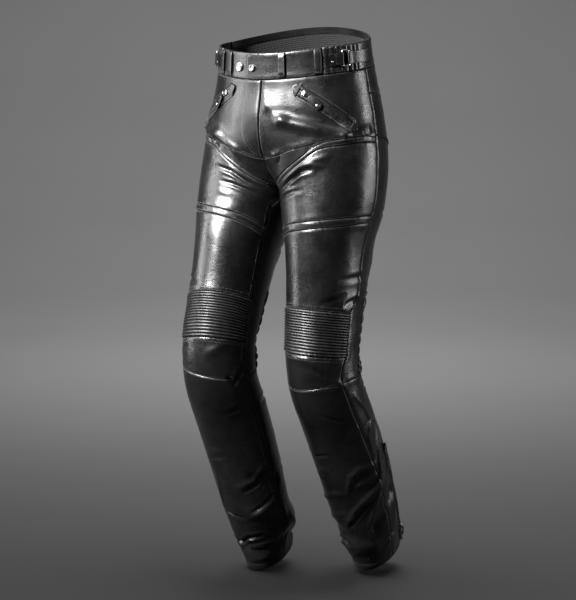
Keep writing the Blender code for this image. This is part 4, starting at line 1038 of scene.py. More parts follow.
class Shell:
    """A cut panel as a thin closed shell: its fine outer face, a plainer inner face and the edges between.

    Attributes:
        flat: The panel's width and length in metres as it was cut, measured along the grid.
        area: The area of its outer face before seams are rolled, in square metres.
    """

    seam_half_gap = 0.00015
    worn_edge = (0.0004, 0.0042)
    reach = 0.016
    border_step = 0.0012

    def __init__(self, grid: Grid, cells: Array, thickness: float, relief: Relief | None,
                 lift: Array | float) -> None:
        """Works out the shell's points and faces.

        Args:
            grid: The surface.
            cells: Which of the grid's cells the panel covers.
            thickness: Metres from the plain surface to the inner face.
            relief: The rise and fall beside the seams.
            lift: How far the outer face is raised, over the whole grid.
        """
        counts = np.zeros(grid.points.shape[:2], int)
        for a in (0, 1):
            for b in (0, 1):
                counts[a : a + cells.shape[0], b : b + cells.shape[1]] += cells
        self.used = counts > 0
        border = self.used & (counts < 4)
        inner = grid.points + self._inward(grid, cells, border) * self.seam_half_gap
        distance = self._border_distance(grid, cells)
        rise = np.zeros(grid.points.shape[:2]) + lift
        if relief is not None:
            rise = np.maximum(rise + relief.height(grid.points, distance), -relief.deepest)
        outer = inner + grid.normals * rise[..., None]
        worn = 1 - smooth(distance, *self.worn_edge)
        index = np.full(counts.shape, -1)
        index[self.used] = np.arange(self.used.sum())
        coarse = self.used.copy()
        coarse[1::2, :] = False
        coarse[:, 1::2] = False
        inner_index = np.full(counts.shape, -1)
        inner_index[coarse] = self.used.sum() + np.arange(coarse.sum())
        self.picked = (self.used, coarse)
        below = grid.points - grid.normals * thickness
        self.vertices = np.concatenate([outer[self.used], below[coarse]])
        self.edge_values = np.concatenate([worn[self.used], np.zeros(coarse.sum())])
        self.faces = self._faces(cells, index, inner_index, grid.winding)
        self.flat, self.area = self._cut_size(grid, cells, outer)

    @staticmethod
    def _inward(grid: Grid, cells: Array, border: Array) -> Array:
        """Finds the way from the panel's border to its inside.

        Args:
            grid: The surface.
            cells: Which of the grid's cells the panel covers.
            border: Which of the grid's points lie on the panel's edge.

        Returns:
            Directions along the surface at the border's points, and zero elsewhere.
        """
        middle = (grid.points[:-1, :-1] + grid.points[1:, :-1] + grid.points[:-1, 1:] + grid.points[1:, 1:]) / 4
        ways = np.zeros_like(grid.points)
        for a in (0, 1):
            for b in (0, 1):
                part = (slice(a, a + cells.shape[0]), slice(b, b + cells.shape[1]))
                ways[part] += unit(middle - grid.points[part]) * cells[..., None]
        ways -= (ways * grid.normals).sum(-1, keepdims=True) * grid.normals
        return unit(ways) * border[..., None]

    def _border_distance(self, grid: Grid, cells: Array) -> Array:
        """Distance of every used point from the panel's edge, up to the reach of what seams do to the leather."""
        padded = np.pad(cells, 1)
        line = []
        for i in range(cells.shape[0] + 1):
            for j in range(cells.shape[1] + 1):
                if i < cells.shape[0] and padded[i + 1, j] != padded[i + 1, j + 1]:
                    line.append((grid.points[i, j], grid.points[i + 1, j]))
                if j < cells.shape[1] and padded[i, j + 1] != padded[i + 1, j + 1]:
                    line.append((grid.points[i, j], grid.points[i, j + 1]))
        tree_points = []
        for first, last in line:
            count = max(1, int(np.ceil(np.linalg.norm(last - first) / self.border_step)))
            tree_points += [first + (last - first) * k / count for k in range(count + 1)]
        tree = KDTree(len(tree_points))
        for k, point in enumerate(tree_points):
            tree.insert(point, k)
        tree.balance()
        distance = np.full(grid.points.shape[:2], self.reach)
        for i, j in zip(*np.nonzero(self.used)):
            distance[i, j] = min(tree.find(grid.points[i, j])[2], self.reach)
        return distance

    @staticmethod
    def _faces(cells: Array, index: Array, inner_index: Array, winding: int) -> list[tuple[int, ...]]:
        """The outer quads, the inner quads on every second line, and the rim.

        Args:
            cells: Which of the grid's cells the panel covers.
            index: The vertex of each point on the outer face.
            inner_index: The vertex of each point on the inner face.
            winding: The sign of the grid's winding.

        Returns:
            The faces, as vertices in order.
        """
        i, j = np.nonzero(cells)
        corners = [index[i, j], index[i, j + 1], index[i + 1, j + 1], index[i + 1, j]]
        faces = [tuple(face) for face in np.stack(corners[::winding], -1).tolist()]
        coarse = np.pad(cells[::2, ::2], 1)
        for a, b in zip(*np.nonzero(coarse[1:-1, 1:-1])):
            x, y = 2 * int(a), 2 * int(b)
            quad = (inner_index[x, y], inner_index[x + 2, y], inner_index[x + 2, y + 2], inner_index[x, y + 2])
            faces.append(quad[::winding])
            sides = (
                (coarse[a + 1, b], ((x, y), (x + 1, y), (x + 2, y))),
                (coarse[a + 2, b + 1], ((x + 2, y), (x + 2, y + 1), (x + 2, y + 2))),
                (coarse[a + 1, b + 2], ((x + 2, y + 2), (x + 1, y + 2), (x, y + 2))),
                (coarse[a, b + 1], ((x, y + 2), (x, y + 1), (x, y))),
            )
            for beside, run in sides:
                if not beside:
                    rim = [index[c] for c in run] + [inner_index[run[2]], inner_index[run[0]]]
                    faces.append(tuple(rim[::winding]))
        return faces

    @staticmethod
    def _cut_size(grid: Grid, cells: Array, outer: Array) -> tuple[tuple[float, float], float]:
        """Measures the size that the panel was cut to.

        Args:
            grid: The surface.
            cells: Which of the grid's cells the panel covers.
            outer: The points of its finished outer face.

        Returns:
            The greatest width and length, and the area.
        """
        along = np.linalg.norm(np.diff(outer, axis=0), axis=-1)
        down = np.linalg.norm(np.diff(outer, axis=1), axis=-1)
        width = float((along[:, :-1] * cells).sum(0).max())
        length = float((down[:-1] * cells).sum(1).max())
        across = np.cross(outer[1:, 1:] - outer[:-1, :-1], outer[:-1, 1:] - outer[1:, :-1])
        area = float((np.linalg.norm(across, axis=-1) / 2 * cells).sum())
        return (width, length), area

    def mesh(self, name: str) -> bpy.types.Mesh:
        """The shell's mesh, with how near each point is to the panel's edge kept on it."""
        mesh = bpy.data.meshes.new(name)
        mesh.from_pydata(self.vertices.tolist(), [], self.faces)
        mesh.attributes.new("edge", "FLOAT", "POINT").data.foreach_set("value", self.edge_values)
        mesh.update()
        return mesh


class Panel(NamedTuple):
    """A cut panel: the lattice blocks (first and last column, first and last row) that it covers, and its make."""

    name: str
    blocks: tuple[tuple[int, int, int, int], ...]
    stretch: bool = False
    raised: float = 0.0
    ribs: Ribs | None = None
    relief: Relief = Relief()


BAND_RELIEF = Relief(pucker=0.00022, wave=0.0, dimple=0.00008)
FRONT, THIGH, OUTER, CALF_ZIP, BACK = (line.value for line in Line)
(TOP_ROW, WAIST, YOKE_LOW, HIP_LOW, BAND_TOP, BAND_LOW, THIGH_BAND_TOP, THIGH_BAND_LOW, STRETCH_TOP, ACCORDION_TOP,
 ACCORDION_LOW, KNEECAP_LOW, HEM_ROW) = (row.value for row in Row)

PANELS = (
    Panel("hip_front", ((FRONT, OUTER, WAIST, HIP_LOW), (THIGH, OUTER, HIP_LOW, BAND_TOP))),
    Panel("crotch_insert", ((FRONT, THIGH, HIP_LOW, BAND_TOP),)),
    Panel("hip_band", ((FRONT, OUTER, BAND_TOP, BAND_LOW),), raised=0.0007),
    Panel("upper_thigh", ((FRONT, OUTER, BAND_LOW, THIGH_BAND_TOP),)),
    Panel("thigh_band", ((FRONT, OUTER, THIGH_BAND_TOP, THIGH_BAND_LOW),), raised=0.0007),
    Panel("lower_thigh", ((FRONT, OUTER, THIGH_BAND_LOW, ACCORDION_TOP),)),
    Panel("knee_accordion", ((FRONT, OUTER, ACCORDION_TOP, ACCORDION_LOW),), stretch=True,
          ribs=Ribs(Cloth.knee_ribs, 0.0022)),
    Panel("kneecap", ((FRONT, OUTER, ACCORDION_LOW, KNEECAP_LOW),)),
    Panel("shin", ((FRONT, OUTER, KNEECAP_LOW, HEM_ROW),)),
    Panel("back_yoke", ((OUTER, BACK, WAIST, YOKE_LOW),)),
    Panel("seat_back", ((OUTER, BACK, YOKE_LOW, STRETCH_TOP), (OUTER, STRETCH_FROM, STRETCH_TOP, KNEECAP_LOW),
                        (STRETCH_TO, BACK, STRETCH_TOP, KNEECAP_LOW))),
    Panel("back_knee_stretch", ((STRETCH_FROM, STRETCH_TO, STRETCH_TOP, KNEECAP_LOW),), stretch=True,
          ribs=Ribs(1, 0.0024)),
    Panel("calf_outer", ((OUTER, CALF_ZIP, KNEECAP_LOW, HEM_ROW),)),
    Panel("calf", ((CALF_ZIP, BACK, KNEECAP_LOW, HEM_ROW),)),
    Panel("waistband_shirred", ((THIGH, SHIRR_TO, TOP_ROW, WAIST),), ribs=Ribs(2, 0.0014, upright=True),
          relief=BAND_RELIEF),
)
RIGHT_FRONT_BAND = Panel("waistband_front", ((FRONT, THIGH, TOP_ROW, WAIST),), relief=BAND_RELIEF)


def set_down(points: Array, normals: Array, tree: BVHTree | None) -> Array:
    """Points moved along their outward directions on to finished faces.

    Args:
        points: The points.
        normals: Their outward directions.
        tree: The faces, or none to leave the points where they are.

    Returns:
        The points. One that meets no face nearby stays where it is.
    """
    start_height, reach = 0.010, 0.016
    points = points.copy()
    if tree is None:
        return points
    for k in np.ndindex(points.shape[:-1]):
        start = Vector(points[k] + normals[k] * start_height)
        place, _, _, _ = tree.ray_cast(start, -Vector(normals[k]), reach)
        if place is not None:
            points[k] = place
    return points


def repeated(name: str, frames: tuple[Array, Array, Array, Array], shape: Array,
             quads: list[tuple[int, ...]]) -> bpy.types.Mesh:
    """One small shape repeated at many places.

    Args:
        name: The mesh's name.
        frames: The places, and the directions of the shape's X, Y and Z at each.
        shape: The shape's points.
        quads: The shape's faces, of four corners each.

    Returns:
        The mesh.
    """
    centre, way, across, up = frames
    points = (centre[:, None] + way[:, None] * shape[None, :, :1] + across[:, None] * shape[None, :, 1:2]
              + up[:, None] * shape[None, :, 2:3])
    offsets = np.arange(len(centre)) * len(shape)
    faces = (np.array(quads)[None] + offsets[:, None, None]).reshape(-1, 4)
    mesh = bpy.data.meshes.new(name)
    mesh.from_pydata(points.reshape(-1, 3).tolist(), [], faces.tolist())
    mesh.update()
    return mesh


class Sewing:
    """Rows of top stitching, gathered into one piece for each part of the garment."""

    length = 0.0027
    pitch = 0.0035
    radius = 0.00030
    sink = 0.00022
    sides = 4

    def __init__(self) -> None:
        """Starts with no rows."""
        self.centres: list[Array] = []
        self.ways: list[Array] = []
        self.ups: list[Array] = []

    def add(self, line: Array, normals: Array) -> None:
        """Adds a row along a line of points, with the outward direction at each.

        Args:
            line: Points along the row.
            normals: Outward directions at the points.
        """
        run = np.concatenate([[0.0], np.cumsum(np.linalg.norm(np.diff(line, axis=0), axis=1))])
        count = int(run[-1] / self.pitch)
        if count < 1:
            return
        at = (np.arange(count) + 0.5) * run[-1] / count
        centre = np.stack([np.interp(at, run, line[:, k]) for k in range(3)], -1)
        ahead = np.stack([np.interp(at + self.pitch / 2, run, line[:, k]) for k in range(3)], -1)
        behind = np.stack([np.interp(at - self.pitch / 2, run, line[:, k]) for k in range(3)], -1)
        up = unit(np.stack([np.interp(at, run, normals[:, k]) for k in range(3)], -1))
        self.centres.append(centre)
        self.ways.append(unit(ahead - behind))
        self.ups.append(up)

    def mesh(self, name: str, tree: BVHTree | None) -> bpy.types.Mesh:
        """All rows as one mesh of short plump stitches.

        Args:
            name: The mesh's name.
            tree: The cloth that the stitches lie on, if they are to be set down on it.

        Returns:
            The mesh.
        """
        centre, way, up = (np.concatenate(part) for part in (self.centres, self.ways, self.ups))
        centre = set_down(centre, up, tree)
        across = unit(np.cross(up, way))
        up = np.cross(way, across)
        rings = ((-0.5, 0.35, -1.2), (-0.18, 1.0, 0.0), (0.18, 1.0, 0.0), (0.5, 0.35, -1.2))
        turns = np.arange(self.sides) * 2 * pi / self.sides + pi / 4
        template = [(along * self.length, share * self.radius * cos(t), self.radius * (share * sin(t) + drop))
                    for along, share, drop in rings for t in turns]
        shape = np.array(template)
        shape[:, 2] += self.radius - self.sink
        quads = []
        for ring in range(len(rings) - 1):
            for k in range(self.sides):
                a, b = ring * self.sides + k, ring * self.sides + (k + 1) % self.sides
                quads.append((a, a + self.sides, b + self.sides, b))
        quads.append(tuple(range(self.sides)))
        quads.append(tuple(range((len(rings) - 1) * self.sides, len(rings) * self.sides))[::-1])
        return repeated(name, (centre, way, across, up), shape, quads)


class Patch:
    """A flat frame laid on the finished cloth: a runs round the garment and b down it, in metres, turned together."""

    probe = 0.01

    def __init__(self, cloth: Cloth, tree: BVHTree | None, u: float, v: float, turn: float = 0.0) -> None:
        """Lays the frame.

        Args:
            cloth: The side's cloth.
            tree: The finished faces that things are set down on, or none to stay on the plain cloth.
            u: Share round the garment.
            v: Distance down.
            turn: Degrees that the frame is turned by.
        """
        self.cloth, self.tree, self.u, self.v, self.turn = cloth, tree, u, v, radians(turn)
        step = self.probe
        beside, along = np.array((u - step, u + step, u, u)), np.array((v, v, v - step, v + step))
        ends = cloth.form.points(cloth.side, beside, along)
        self.u_length = float(np.linalg.norm(ends[1] - ends[0])) / (2 * step)
        self.v_length = float(np.linalg.norm(ends[3] - ends[2])) / (2 * step)

    def ground(self, a: Array, b: Array) -> tuple[Array, Array]:
        """Points on the finished face under (a, b), and the outward directions there."""
        a, b = np.broadcast_arrays(np.asarray(a, float), np.asarray(b, float))
        u = self.u + (a * cos(self.turn) - b * sin(self.turn)) / self.u_length
        v = self.v + (a * sin(self.turn) + b * cos(self.turn)) / self.v_length
        points, normals, _, _ = self.cloth.surface(u, v)
        return set_down(points, normals, self.tree), normals

    def frame(self, a: float = 0.0, b: float = 0.0, height: float = 0.0, reach: float = 0.006) -> Matrix:
        """The place of a rigid fitting on the cloth.

        Args:
            a: How far round from the patch's middle.
            b: How far down from it.
            height: How far above the face.
            reach: How far along b the face is felt for its slope.

        Returns:
            A matrix whose X runs along b and whose Z points away from the cloth.
        """
        points, normals = self.ground(np.array((a, a, a)), np.array((b, b + reach, b - reach)))
        upward = Vector(unit(normals.sum(0)))
        along = Vector(points[1] - points[2])
        along = (along - along.dot(upward) * upward).normalized()
        middle = Vector(points[0] + np.array(upward) * height)
        return Matrix.Translation(middle) @ Matrix((along, upward.cross(along), upward)).transposed().to_4x4()


class BackPatch(Patch):
    """A frame at centre back, where a runs from the wearer's left across to the right."""

    def __init__(self, cloth: Cloth, tree: BVHTree, other_cloth: Cloth, other_tree: BVHTree) -> None:
        """Lays the frame over both sides."""
        super().__init__(cloth, tree, 0.99, 0.0)
        self.sides = ((cloth, tree), (other_cloth, other_tree))

    def ground(self, a: Array, b: Array) -> tuple[Array, Array]:
        """Points on the finished face under (a, b), and the outward directions there."""
        a, b = np.broadcast_arrays(np.asarray(a, float), np.asarray(b, float))
        points, normals = np.zeros((*a.shape, 3)), np.zeros((*a.shape, 3))
        for (cloth, tree), mine in zip(self.sides, (a <= 0, a > 0)):
            u = 1.0 - np.abs(a[mine]) / self.u_length
            found, upward, _, _ = cloth.surface(u, b[mine])
            points[mine], normals[mine] = set_down(found, upward, tree), upward
        return points, normals


def soft_edge(distance: Array, radius: float) -> Array:
    """How far a rounded edge falls below the face beside it, at distances from the edge."""
    inside = np.clip(distance / radius, 0, 1)
    return radius * (1 - np.sqrt(1 - (1 - inside) ** 2))


def edge_lines(first: float, last: float, count: int, radius: float) -> list[float]:
    """Places across a strip, close together where its edges are rounded.

    Args:
        first: One edge.
        last: The other edge.
        count: How many equal parts lie between the rounded edges.
        radius: The radius of the edges.

    Returns:
        The places in order.
    """
    near = [first, first + 0.15 * radius, first + 0.45 * radius, first + radius]
    far = [last - radius, last - 0.45 * radius, last - 0.15 * radius, last]
    return near + even(near[-1], far[0], count)[1:-1] + far


def closed_sheet(name: str, top: Array, bottom: Array, edge: Array) -> bpy.types.Mesh:
    """A closed mesh between two grids of points, with the sides between them.

    Args:
        name: The mesh's name.
        top: The upper grid.
        bottom: The lower grid, of the same size.
        edge: How near each place is to the edge, from 0 to 1.

    Returns:
        The mesh, turned outward.
    """
    rows, columns = top.shape[:2]
    shape = bmesh.new()
    upper = [[shape.verts.new(p) for p in line] for line in top]
    lower = [[shape.verts.new(p) for p in line] for line in bottom]
    for i in range(rows - 1):
        k = i + 1
        for j in range(columns - 1):
            shape.faces.new((upper[i][j], upper[i][j + 1], upper[k][j + 1], upper[k][j]))
            shape.faces.new((lower[i][j], lower[k][j], lower[k][j + 1], lower[i][j + 1]))
        shape.faces.new((upper[i][0], upper[k][0], lower[k][0], lower[i][0]))
        shape.faces.new((upper[i][-1], lower[i][-1], lower[k][-1], upper[k][-1]))
    for j in range(columns - 1):
        shape.faces.new((upper[0][j], lower[0][j], lower[0][j + 1], upper[0][j + 1]))
        shape.faces.new((upper[-1][j], upper[-1][j + 1], lower[-1][j + 1], lower[-1][j]))
    bmesh.ops.recalc_face_normals(shape, faces=shape.faces)
    mesh = bpy.data.meshes.new(name)
    shape.to_mesh(mesh)
    shape.free()
    values = np.concatenate([edge.ravel(), np.zeros(rows * columns)])
    mesh.attributes.new("edge", "FLOAT", "POINT").data.foreach_set("value", values)
    return mesh


@dataclass
class Strip:
    """A strip of leather or tape that lies on the cloth, with rounded edges, and its rows of stitches."""

    patch: Patch
    a_lines: Callable[[float], list[float]]
    b_places: list[float]
    thick: float
    rise: Callable[[Array, Array], Array] = lambda a, b: np.zeros(a.shape)
    edge_radius: float = 0.0006
    gap: float = 0.0004

    def __post_init__(self) -> None:
        """Works out where the strip lies."""
        self.a = np.array([self.a_lines(b) for b in self.b_places])
        self.b = np.repeat(np.array(self.b_places)[:, None], self.a.shape[1], 1)
        self.ground, self.normals = self.patch.ground(self.a, self.b)
        sides = np.minimum(self.a - self.a[:, :1], self.a[:, -1:] - self.a)
        ends = np.minimum(self.b - self.b[0], self.b[-1] - self.b)
        self.inset = np.minimum(sides, ends)

    def mesh(self, name: str) -> bpy.types.Mesh:
        """The strip's mesh."""
        low = self.gap + self.rise(self.a, self.b)
        high = low + self.thick - soft_edge(self.inset, self.edge_radius)
        top = self.ground + self.normals * high[..., None]
        bottom = self.ground + self.normals * low[..., None]
        return closed_sheet(name, top, bottom, 1 - smooth(self.inset, 0.0002, 0.0022))

    def row(self, sewing: Sewing, a: Array | float, b: Array | float) -> None:
        """Sews a row of stitches on the strip.

        Args:
            sewing: The stitching that the row is added to.
            a: Places along the row, round the garment.
            b: Places along the row, down the garment.
        """
        a, b = np.broadcast_arrays(np.asarray(a, float), np.asarray(b, float))
        points, normals = self.patch.ground(a, b)
        height = self.gap + self.rise(a, b) + self.thick
        sewing.add(points + normals * height[..., None], normals)


def turned(name: str, profile: tuple[tuple[float, float], ...], matrix: Matrix, around: int = 32) -> bpy.types.Mesh:
    """A turned part.

    Args:
        name: The mesh's name.
        profile: Radius and height of each ring, from the middle of its top to the middle of its foot.
        matrix: Where it stands.
        around: How many faces it has round it.

    Returns:
        The mesh, closed and turned outward.
    """
    shape = bmesh.new()
    rings = []
    for radius, height in profile:
        if radius == 0:
            rings.append([shape.verts.new((0, 0, height))])
        else:
            turns = even(0.0, 2 * pi, around)[:-1]
            rings.append([shape.verts.new((radius * cos(t), radius * sin(t), height)) for t in turns])
    for upper, lower in zip(rings, rings[1:]):
        for k in range(around):
            n = (k + 1) % around
            if len(upper) == 1:
                shape.faces.new((upper[0], lower[k], lower[n]))
            elif len(lower) == 1:
                shape.faces.new((upper[k], lower[0], upper[n]))
            else:
                shape.faces.new((upper[k], lower[k], lower[n], upper[n]))
    bmesh.ops.recalc_face_normals(shape, faces=shape.faces)
    shape.transform(matrix)
    mesh = bpy.data.meshes.new(name)
    shape.to_mesh(mesh)
    shape.free()
    return mesh


def dome(radius: float, height: float, foot: float) -> tuple[tuple[float, float], ...]:
    """The profile of a rivet's rounded head over a short foot."""
    head = ((0.0, 1.0), (0.45, 0.93), (0.75, 0.74), (0.93, 0.42), (1.0, 0.10))
    return (*((radius * out, height * up) for out, up in head), (radius, -foot), (0.0, -foot))


def solid_from_outline(outline: list[tuple[float, float]], width: float, bevel: float = 0.0) -> bmesh.types.BMesh:
    """A closed solid with the same outline all across.

    Args:
        outline: Its corners in X and Z.
        width: Its width along Y.
        bevel: How far its sharp edges are rounded.

    Returns:
        The solid.
    """
    shape = bmesh.new()
    near = [shape.verts.new((x, -width / 2, z)) for x, z in outline]
    far = [shape.verts.new((x, width / 2, z)) for x, z in outline]
    count = len(outline)
    for k in range(count):
        n = (k + 1) % count
        shape.faces.new((near[k], near[n], far[n], far[k]))
    shape.faces.new(near)
    shape.faces.new(far[::-1])
    bmesh.ops.recalc_face_normals(shape, faces=shape.faces)
    if bevel:
        rims = [edge for edge in shape.edges if edge.calc_face_angle(0) > radians(30)]
        bmesh.ops.bevel(shape, geom=rims, offset=bevel, segments=2, affect="EDGES", profile=0.5)
    return shape


def plate(outline: list[tuple[float, float]], low: float, high: float, bevel: float = 0.0) -> bmesh.types.BMesh:
    """A flat plate.

    Args:
        outline: Its corners in X and Y.
        low: The height of its underside.
        high: The height of its top.
        bevel: How far its sharp edges are rounded.

    Returns:
        The plate.
    """
    shape = solid_from_outline(outline, high - low, bevel)
    shape.transform(Matrix(((1, 0, 0, 0), (0, 0, 1, 0), (0, 1, 0, (low + high) / 2), (0, 0, 0, 1))))
    bmesh.ops.recalc_face_normals(shape, faces=shape.faces)
    return shape


def one_mesh(name: str, parts: list[bmesh.types.BMesh], matrix: Matrix) -> bpy.types.Mesh:
    """Joins parts.

    Args:
        name: The mesh's name.
        parts: The parts, which are used up.
        matrix: Where the whole stands.

    Returns:
        The mesh.
    """
    whole = bmesh.new()
    for part in parts:
        spare = bpy.data.meshes.new("part")
        part.to_mesh(spare)
        part.free()
        whole.from_mesh(spare)
        bpy.data.meshes.remove(spare)
    whole.transform(matrix)
    mesh = bpy.data.meshes.new(name)
    whole.to_mesh(mesh)
    whole.free()
    return mesh


@dataclass(frozen=True)
class MetalFinish:
    """Dark plated metal, brushed a little, with lighter patches at random."""

    name: str = "dark metal"
    colour: Colour = (0.20, 0.20, 0.21, 1)
    light: Colour = (0.42, 0.42, 0.43, 1)
    roughness: tuple[float, float] = (0.20, 0.38)
    cloud_size: float = 0.006
    scratch_size: float = 0.0022
    scratch_depth: float = 0.00003
    scratch_stretch: Place = (1.0, 9.0, 1.0)

    def make(self) -> bpy.types.Material:
        """The material of this metal."""
        graph = Graph(self.name)
        clouds = graph.spread(graph.noise(self.cloud_size, 3.0, 0.6), 0.35, 0.75)
        scratches = graph.noise(self.scratch_size, 4.0, 0.7, graph.drawn(*self.scratch_stretch))
        return graph.shade({
            "Base Color": graph.blend(clouds, self.colour, self.light),
            "Roughness": graph.spread(scratches, 0.3, 0.7, *self.roughness),
            "Normal": graph.bump(scratches, self.scratch_depth),
            "Metallic": 1.0,
        })


@dataclass(frozen=True)
class WovenFinish:
    """Black woven or knitted cloth: a net of diamonds or fine ribs, along the piece's own cut, with painted shade in
    the weave's hollows.
    """

    name: str
    colour: Colour
    # Colour of the weave's hollows: painted shade between the threads, which in the net also fills the real holes.
    hole: Colour
    size: tuple[float, float]
    diamond: bool
    depth: float
    lightest: float = 1.6
    fuzz_size: float = 0.0014
    fuzz_depth: float = 0.00012
    sheen: float = 0.03
    shine: float = 0.25

    def make(self) -> bpy.types.Material:
        """The material of this cloth."""
        graph = Graph(self.name)
        place = graph.node("ShaderNodeUVMap", uv_map="cut").outputs["UV"]
        split = graph.node("ShaderNodeSeparateXYZ", {"Vector": place})
        across = graph.math("MULTIPLY", split.outputs["X"], 2 * pi / self.size[0])
        down = graph.math("MULTIPLY", split.outputs["Y"], 2 * pi / self.size[1])
        if self.diamond:
            across, down = graph.math("ADD", across, down), graph.math("SUBTRACT", across, down)
        weave = graph.math("MULTIPLY", graph.math("SINE", across), graph.math("SINE", down))
        raised = graph.spread(weave, -0.55, 0.35)
        fuzz = graph.noise(self.fuzz_size, 4.0, 0.7)
        light = (*(c * self.lightest for c in self.colour[:3]), 1)
        cloth = graph.blend(graph.spread(fuzz, 0.3, 0.7), self.colour, light)
        return graph.shade({
            # The weave's low parts take the darker hollow colour, as painted shade.
            "Base Color": graph.blend(raised, self.hole, cloth),
            "Roughness": graph.spread(fuzz, 0.3, 0.7, 0.66, 0.88),
            "Normal": graph.bump(fuzz, self.fuzz_depth, graph.bump(raised, self.depth)),
            "Sheen Weight": self.sheen,
            "Specular IOR Level": self.shine,
        })


def add_cut_map(mesh: bpy.types.Mesh, places: Array) -> None:
    """Keeps each point's place on the flat cut as a texture map.

    Args:
        mesh: The piece's mesh.
        places: The place of each of its points, in metres.
    """
    layer = mesh.uv_layers.new(name="cut")
    corners = np.zeros(len(mesh.loops), int)
    mesh.loops.foreach_get("vertex_index", corners)
    layer.data.foreach_set("uv", places[corners].ravel())


@dataclass(frozen=True)
class ZipSizes:
    """A zip with its slider and pull, in metres."""

    kind: str
    slider_share: float
    body: tuple[float, float, float]
    ear: tuple[float, float, float]
    ear_spread: float
    pin_radius: float
    link: tuple[float, float, float]
    tab: tuple[float, float, float]
    tab_turn: float
    droop: float
    rivet_radius: float
    welt_width: float


POCKET = ZipSizes(
    kind="pocket", slider_share=0.14, body=(0.0120, 0.0084, 0.0026), ear=(0.0036, 0.0011, 0.0036), ear_spread=0.0023,
    pin_radius=0.0008, link=(0.0110, 0.0030, 0.0010), tab=(0.0280, 0.0150, 0.0022), tab_turn=-15.0, droop=8.0,
    rivet_radius=0.0030, welt_width=0.0100,
)
CALF = ZipSizes(
    kind="calf", slider_share=0.88, body=(0.0105, 0.0076, 0.0026), ear=(0.0034, 0.0010, 0.0034), ear_spread=0.0021,
    pin_radius=0.0008, link=(0.0080, 0.0028, 0.0010), tab=(0.0150, 0.0090, 0.0020), tab_turn=0.0, droop=8.0,
    rivet_radius=0.0015, welt_width=0.0085,
)


